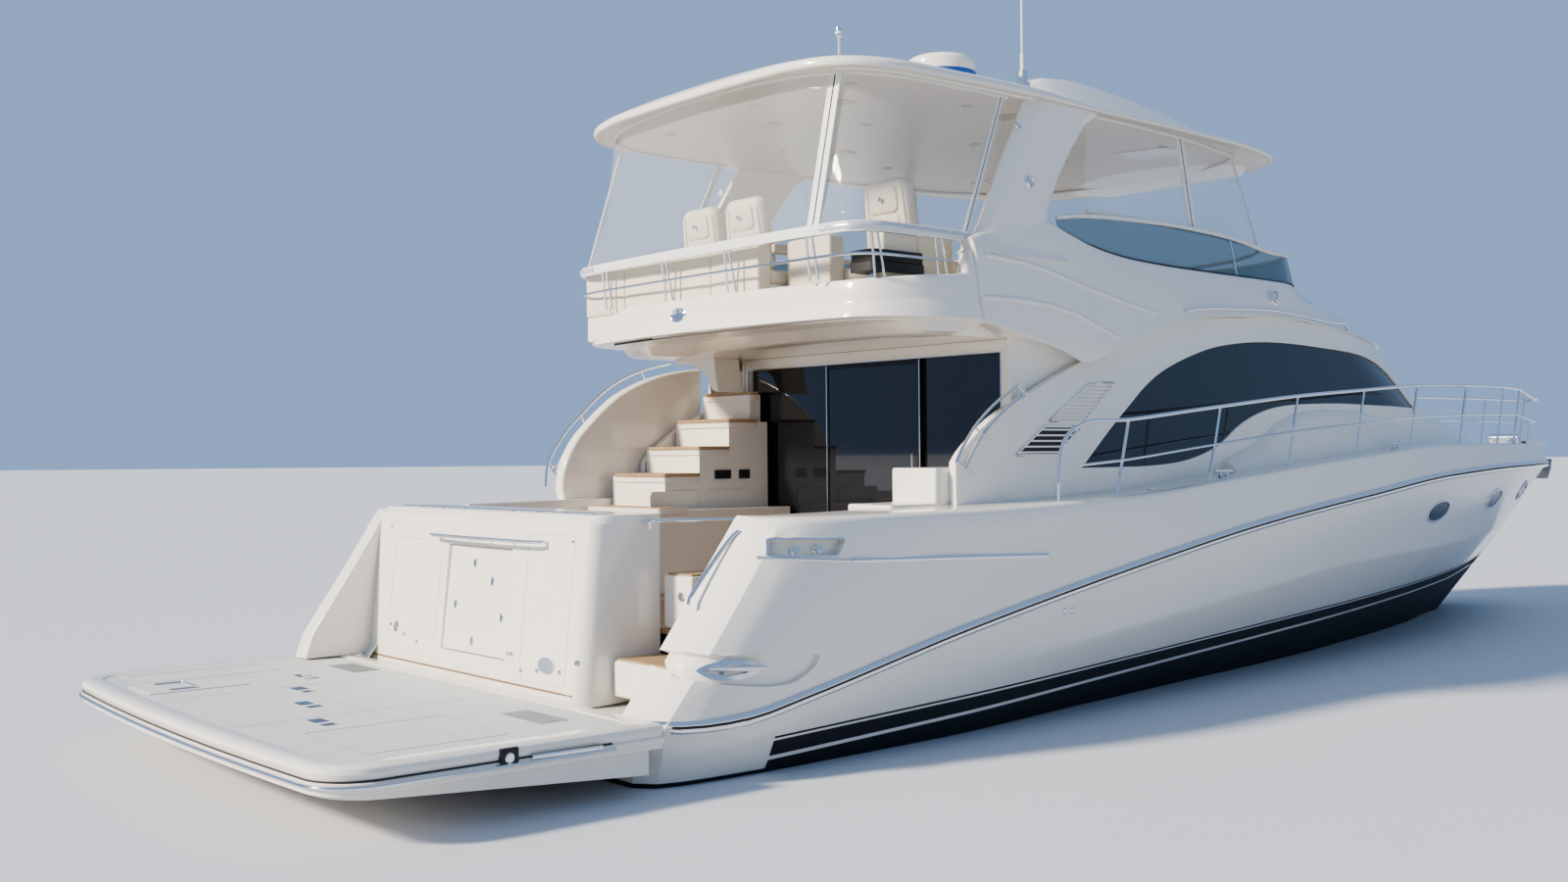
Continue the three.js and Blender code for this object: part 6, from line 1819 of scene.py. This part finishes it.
def makeHorns():
    profile = [(0.075, 0), (0.075, 0.008), (0.06, 0.02), (0.062, 0.05), (0.052, 0.056), (0.046, 0.03),
               (0.02, 0.03), (0.016, 0.045), (0.0, 0.047)]
    horns = [discOn(caster(pieces["bridgeMoulding"], way)(-0.26, 3.47), -0.004, profile, 28)
             for way in ("x", "-x")]
    fit("hornRings", horns, steel, "flybridge", smooth=35)


makeLouvres()
makeBrowRails()
makeSwages()
makeHorns()
print("hull and house fittings made")

# Cockpit, steps and transom fittings


def makeTreads():
    treads = [(-5.9, 1.1, -0.8), (-5.6, 1.34, -0.8), (-5.32, 1.58, -0.8), (-5.03, 1.87, -1.12),
              (-4.65, 2.11, -1.12), (-4.31, 2.36, -1.12), (-3.98, 2.62, -1.22)]
    pads, lips = [], []
    for i, (y, z, innerX) in enumerate(treads):
        nextY = treads[i + 1][0] + 0.01 if i < len(treads) - 1 else -3.87
        outline = rounded([(-1.9, y - 0.025), (innerX + 0.02, y - 0.025), (innerX + 0.02, nextY),
                           (-1.9, nextY)], 0.035)
        wooden = i > 2
        pads.append(panelMesh([insetLoop(outline, 0.001 if wooden else 0.04)],
                              lambda u, v, d, z=z: (u, v, z + 0.026 - d), 0.028, 0.5))
        lips.append(panelMesh([insetLoop(outline, 0.012 if wooden else 0.001)],
                              lambda u, v, d, z=z + (-0.004 if wooden else 0.02): (u, v, z - d), 0.05, 0.5))
    fit("treadPads", pads, teak, "cockpit_stairs", bevel=0.003)
    fit("treadLips", lips, gelcoat, "cockpit_stairs", bevel=0.01)


def makeCabinet():  # doors, latches and sockets under the stairs
    side = []
    for y0, y1, z0, z1 in ((-5.2, -4.68, 1.26, 1.74), (-4.6, -4.08, 1.26, 1.74), (-5.2, -4.08, 0.95, 1.2)):
        side.append(panelMesh([rounded(boxLoop(y0, y1, z0, z1), 0.04)],
                              lambda u, v, d: (-1.1195 + 0.012 - d, u, v), 0.014, 0.4))
    front = rounded(boxLoop(-1.76, -0.88, 0.93, 1.06), 0.02)
    side.append(panelMesh([front], lambda u, v, d: (u, -5.9 - 0.01 + d, v), 0.014, 0.4))
    fit("cabinetDoors", side, gelcoat, "cockpit_stairs", bevel=0.005)
    profile = [(0.028, 0), (0.028, 0.006), (0.02, 0.01), (0.018, 0.004), (0.0, 0.004)]
    latches = [discMesh((-1.108, y, z), (1, 0, 0), profile, 18)
               for y, z in ((-4.75, 1.5), (-4.53, 1.5), (-4.64, 1.1))]
    fit("cabinetLatches", latches, steel, "cockpit_stairs")
    sockets = [boxMesh(-1.12, -1.1, -4.48, -4.3, 1.84, 1.92), boxMesh(-1.12, -1.1, -4.2, -4.08, 1.84, 1.92)]
    fit("cabinetSockets", sockets, blackTrim, "cockpit_stairs", bevel=0.006)


def makeStairWing():
    edge = [(-3.9, 1.6), (-5.46, 1.6), (-5.5, 1.76), (-5.47, 1.96), (-5.36, 2.18), (-5.14, 2.41),
            (-4.86, 2.63), (-4.5, 2.79), (-4.16, 2.87), (-3.9, 2.9)]
    wingLoop = curveLoop(edge, 0.08, corners=(0, 1, 9))
    plate = panelMesh([wingLoop], lambda u, v, d: (-2.06 - d, u, v), 0.14, 0.1)
    fit("stairWing", [plate], gelcoat, "stair_wing", bevel=0.035, segments=4)
    bracket = curveLoop([(-1.9, 2.955), (-1.45, 2.955), (-1.3, 2.955), (-1.27, 2.75), (-1.24, 2.63),
                         (-1.33, 2.66), (-1.42, 2.8), (-1.62, 2.89), (-1.9, 2.92)], 0.06,
                        corners=(0, 2, 4, 8))
    arm = panelMesh([bracket], lambda u, v, d: (u, -4.34 + d, v), 0.3, 0.1)
    fit("stairBracket", [arm], gelcoat, "cockpit_stairs", bevel=0.012)
    line = [(-5.56, 1.78), (-5.53, 2.0), (-5.36, 2.26), (-5.18, 2.44), (-4.85, 2.71), (-4.49, 2.87),
            (-4.15, 2.95)]
    wing = [(-2.25, y, z) for y, z in line]
    low = [(x + 0.005, y + 0.05, z - 0.09) for x, y, z in wing[1:]]
    tubes = [tubeMesh(smoothPath(wing, 0.06), 0.014, 10), tubeMesh(smoothPath(low, 0.06), 0.011, 8)]
    for x, y, z in wing[1::2]:
        bent = [(x, y, z), (x + 0.005, y + 0.05, z - 0.09), (x + 0.07, y + 0.08, z - 0.14)]
        tubes.append(tubeMesh(bent, 0.009, 8))
    fit("wingRails", tubes, steel, "stair_wing")


def makeHandrails():
    hand = [(2.06, -4.68, 1.99), (2.06, -4.63, 2.07), (2.06, -4.48, 2.25), (2.06, -4.26, 2.42),
            (2.06, -4.0, 2.57)]
    tubes = []
    for shift in (0.0, 0.09):
        line = [(x, y + shift, z - shift * 0.6) for x, y, z in hand]
        tubes.append(tubeMesh(smoothPath(line, 0.05), 0.012, 8))
    for x, y, z in (hand[0], hand[2], hand[4]):
        bent = [(x, y, z), (x, y + 0.09, z - 0.054), (x + 0.03, y + 0.16, z - 0.09)]
        tubes.append(tubeMesh(bent, 0.009, 8))
    diagonal = [(1.955, -7.06, 1.1), (1.93, -7.03, 1.14), (1.93, -6.67, 1.53), (1.955, -6.64, 1.56)]
    tubes.append(tubeMesh(smoothPath(diagonal, 0.03), 0.014, 10))
    fit("sideHandrails", tubes, steel, "side_steps")


def makeGateSteps():
    steps = [boxMesh(1.235, 1.955, -7.16, -6.755, 0.445, 0.69),
             boxMesh(1.235, 1.56, -6.74, -6.4, 0.871, 1.24)]
    fit("gateSteps", steps, gelcoat, "cockpit_sole", bevel=0.02)
    pads = [boxMesh(1.26, 1.93, -7.14, -6.78, 0.689, 0.703), boxMesh(1.255, 1.54, -6.72, -6.42, 1.239, 1.252)]
    fit("gateStepPads", pads, teak, "cockpit_sole", bevel=0.003)
    ringLatch = discMesh((1.45, -6.745, 1.1), (0, -1, 0),
                         [(0.03, 0), (0.03, 0.006), (0.02, 0.009), (0.0, 0.005)], 18)
    fit("stepLatch", [ringLatch], steel, "cockpit_sole")


def makeDoorTrim():
    pull = tubeMesh(soften([(0.79, -3.83, 1.75), (0.79, -3.87, 1.75), (0.79, -3.87, 2.05),
                            (0.79, -3.83, 2.05)], [0, 0.02, 0.02, 0], 4), 0.009, 8)
    fit("doorPull", [pull], steel, body="door")
    edges = [boxMesh(x, x + 0.011, -3.835, -3.829, 0.888, 2.84) for x in (-0.318, 0.841)]
    fit("doorEdges", edges, steel, body="door", bevel=0.002)
    trim = [boxMesh(x0, x1, -3.858, -3.849, z0, 2.856)
            for x0, x1, z0 in ((-1.414, -1.404, 0.888), (1.764, 1.774, 0.888), (-1.414, 1.774, 2.847))]
    fit("openingTrim", trim, steel, "aft_bulkhead", bevel=0.002)


makeTreads()
makeCabinet()
makeStairWing()
makeHandrails()
makeGateSteps()
makeDoorTrim()
seamLook = makeFinish("panelSeam", (0.6, 0.57, 0.5), 0.6, (0.5, 0.47, 0.4))


def makeTransomFittings():
    hit = caster(pieces["transomModule"], "-y")
    seams = []
    for x0, x1, z0, z1 in ((-1.66, -0.86, 0.66, 1.42), (0.42, 1.02, 0.5, 1.52)):
        seams.append(frameStripOn(hit, rounded(boxLoop(x0, x1, z0, z1), 0.05), 0.005, 0.0015, 0.003))
    fit("transomSeams", seams, seamLook, "transom_module", slot="gelcoat")
    metal = []
    spots = [(-0.55, 1.36, 0.014), (-0.3, 1.37, 0.014), (-0.05, 1.37, 0.014), (-0.64, 0.66, 0.016),
             (0.25, 0.66, 0.016), (0.3, 0.66, 0.02), (-1.53, 0.71, 0.045), (-1.62, 0.72, 0.015),
             (-1.38, 0.66, 0.018), (-1.15, 0.62, 0.014), (0.95, 0.6, 0.018), (1.14, 0.68, 0.02),
             (0.66, 0.58, 0.018), (-1.75, 1.5, 0.012), (1.0, 1.48, 0.012), (0.45, 0.56, 0.016)]
    for x, z, size in spots:
        profile = [(size, 0), (size, 0.006), (size * 0.7, 0.01), (size * 0.6, 0.006), (0.0, 0.006)]
        metal.append(discOn(hit(x, z), -0.003, profile, 18))
    oval = [(0.78 + 0.1 * math.cos(t), 0.63 + 0.055 * math.sin(t)) for t in np.linspace(0, 6.2, 20)]
    metal.append(plateOn(hit, [oval], 0.012, 0.01, 0.2))
    fit("transomStuds", metal, steel, "transom_module", smooth=35)
    latches = []
    lidHit = caster(bpy.data.objects["transomLid"], "-y")
    for x, z in ((-0.36, 1.27), (-0.08, 1.15), (-0.6, 0.95), (0.1, 0.9), (-0.3, 0.7)):
        oval = [(x + 0.02 * math.cos(t), z + 0.034 * math.sin(t)) for t in np.linspace(0, 5.98, 20)]
        latches.append(plateOn(lidHit, [oval], 0.008, 0.003, 0.3))
    fit("lidLatches", latches, steel, body="transom_lid", bevel=0.003)
    base = [(x, hit(x, 0.49)[0][1] - 0.002, 0.458) for x in np.linspace(-1.9, 1.12, 20)]
    brown = makeFinish("baseSealant", (0.26, 0.17, 0.1), 0.6, (0.12, 0.08, 0.05))
    fit("transomBaseSeam", [tubeMesh(base, 0.008, 6)], brown, "transom_module", slot="gelcoat")
    profile = [(0.014, 0), (0.012, 0.004), (0.0, 0.005)]
    studs = [discMesh((-1.8 + k * 0.36, -7.2, 1.66), (0, 0, 1), profile, 14) for k in range(9)]
    top = tubeMesh([(-1.85, -7.16, 1.664), (1.05, -7.16, 1.664)], 0.008, 8)
    fit("transomTopTrack", studs + [top], steel, "transom_module")


makeTransomFittings()
print("cockpit fittings made")

# Foredeck gear


def makeForedeck():
    deckHit = caster(pieces["deckMoulding"], "z")
    parts = []
    for y, turn in ((-1.6, 1.57), (1.4, 1.6), (4.9, 1.8), (7.9, 2.0)):
        half = float(np.interp(y, hullRows[:, 0], hullRows[:, 8]))
        x = half * 0.965 - 0.06
        z = deckHit(x, y)[0][2]
        parts.append(cleat(x, y, z, turn))
        parts.append(cleat(-x, y, z, math.pi - turn))
    z = deckHit(0.28, 8.35)[0][2]
    parts += [cleat(0.28, 8.35, z, 1.5), cleat(-0.28, 8.35, z, 1.6)]
    for side in (1, -1):
        x, y = side * 2.28, -2.6
        z = deckHit(x, y)[0][2]
        profile = [(0.045, 0), (0.045, 0.005), (0.03, 0.008), (0.0, 0.008)]
        parts.append(discMesh((x, y, z), (0, 0, 1), profile, 20))
    fit("deckCleats", parts, steel, "deck", smooth=35)


makeForedeck()
print("foredeck gear made")

# Stage and light


studio = {"reach": 900, "sky": (0.42, 0.61, 0.95, 1), "skyStrength": 0.6, "sunStrength": 6.0,
          "sunAngle": 0.12, "sunColour": (1.0, 0.9, 0.76), "sunAim": (0.35, 1.0, -0.6)}


def makeStage():
    mesh = bpy.data.meshes.new("floor")
    far = studio["reach"]
    corners = [(x, y, 0) for x, y in boxLoop(-far, far, -far, far)]
    mesh.from_pydata(corners, [], [(0, 1, 2, 3)])
    floor = newObject("floor", mesh)
    floor.data.materials.append(makeFinish("paleFloor", (0.66, 0.67, 0.69), 0.6, (0.6, 0.61, 0.63), 0.2, 0.2))
    world = bpy.data.worlds.new("studio")
    bpy.context.scene.world = world
    world.use_nodes = True
    sky = world.node_tree.nodes["Background"]
    sky.inputs["Color"].default_value = studio["sky"]
    sky.inputs["Strength"].default_value = studio["skyStrength"]
    sun = bpy.data.lights.new("sun", "SUN")
    sun.energy = studio["sunStrength"]
    sun.angle = studio["sunAngle"]
    sun.color = studio["sunColour"]
    sunObj = newObject("sun", sun)
    sunObj.rotation_euler = Vector(studio["sunAim"]).to_track_quat("-Z", "Y").to_euler()


makeStage()
bpy.context.scene.view_settings.look = "AgX - Medium High Contrast"
bpy.context.scene.view_settings.exposure = 0.1
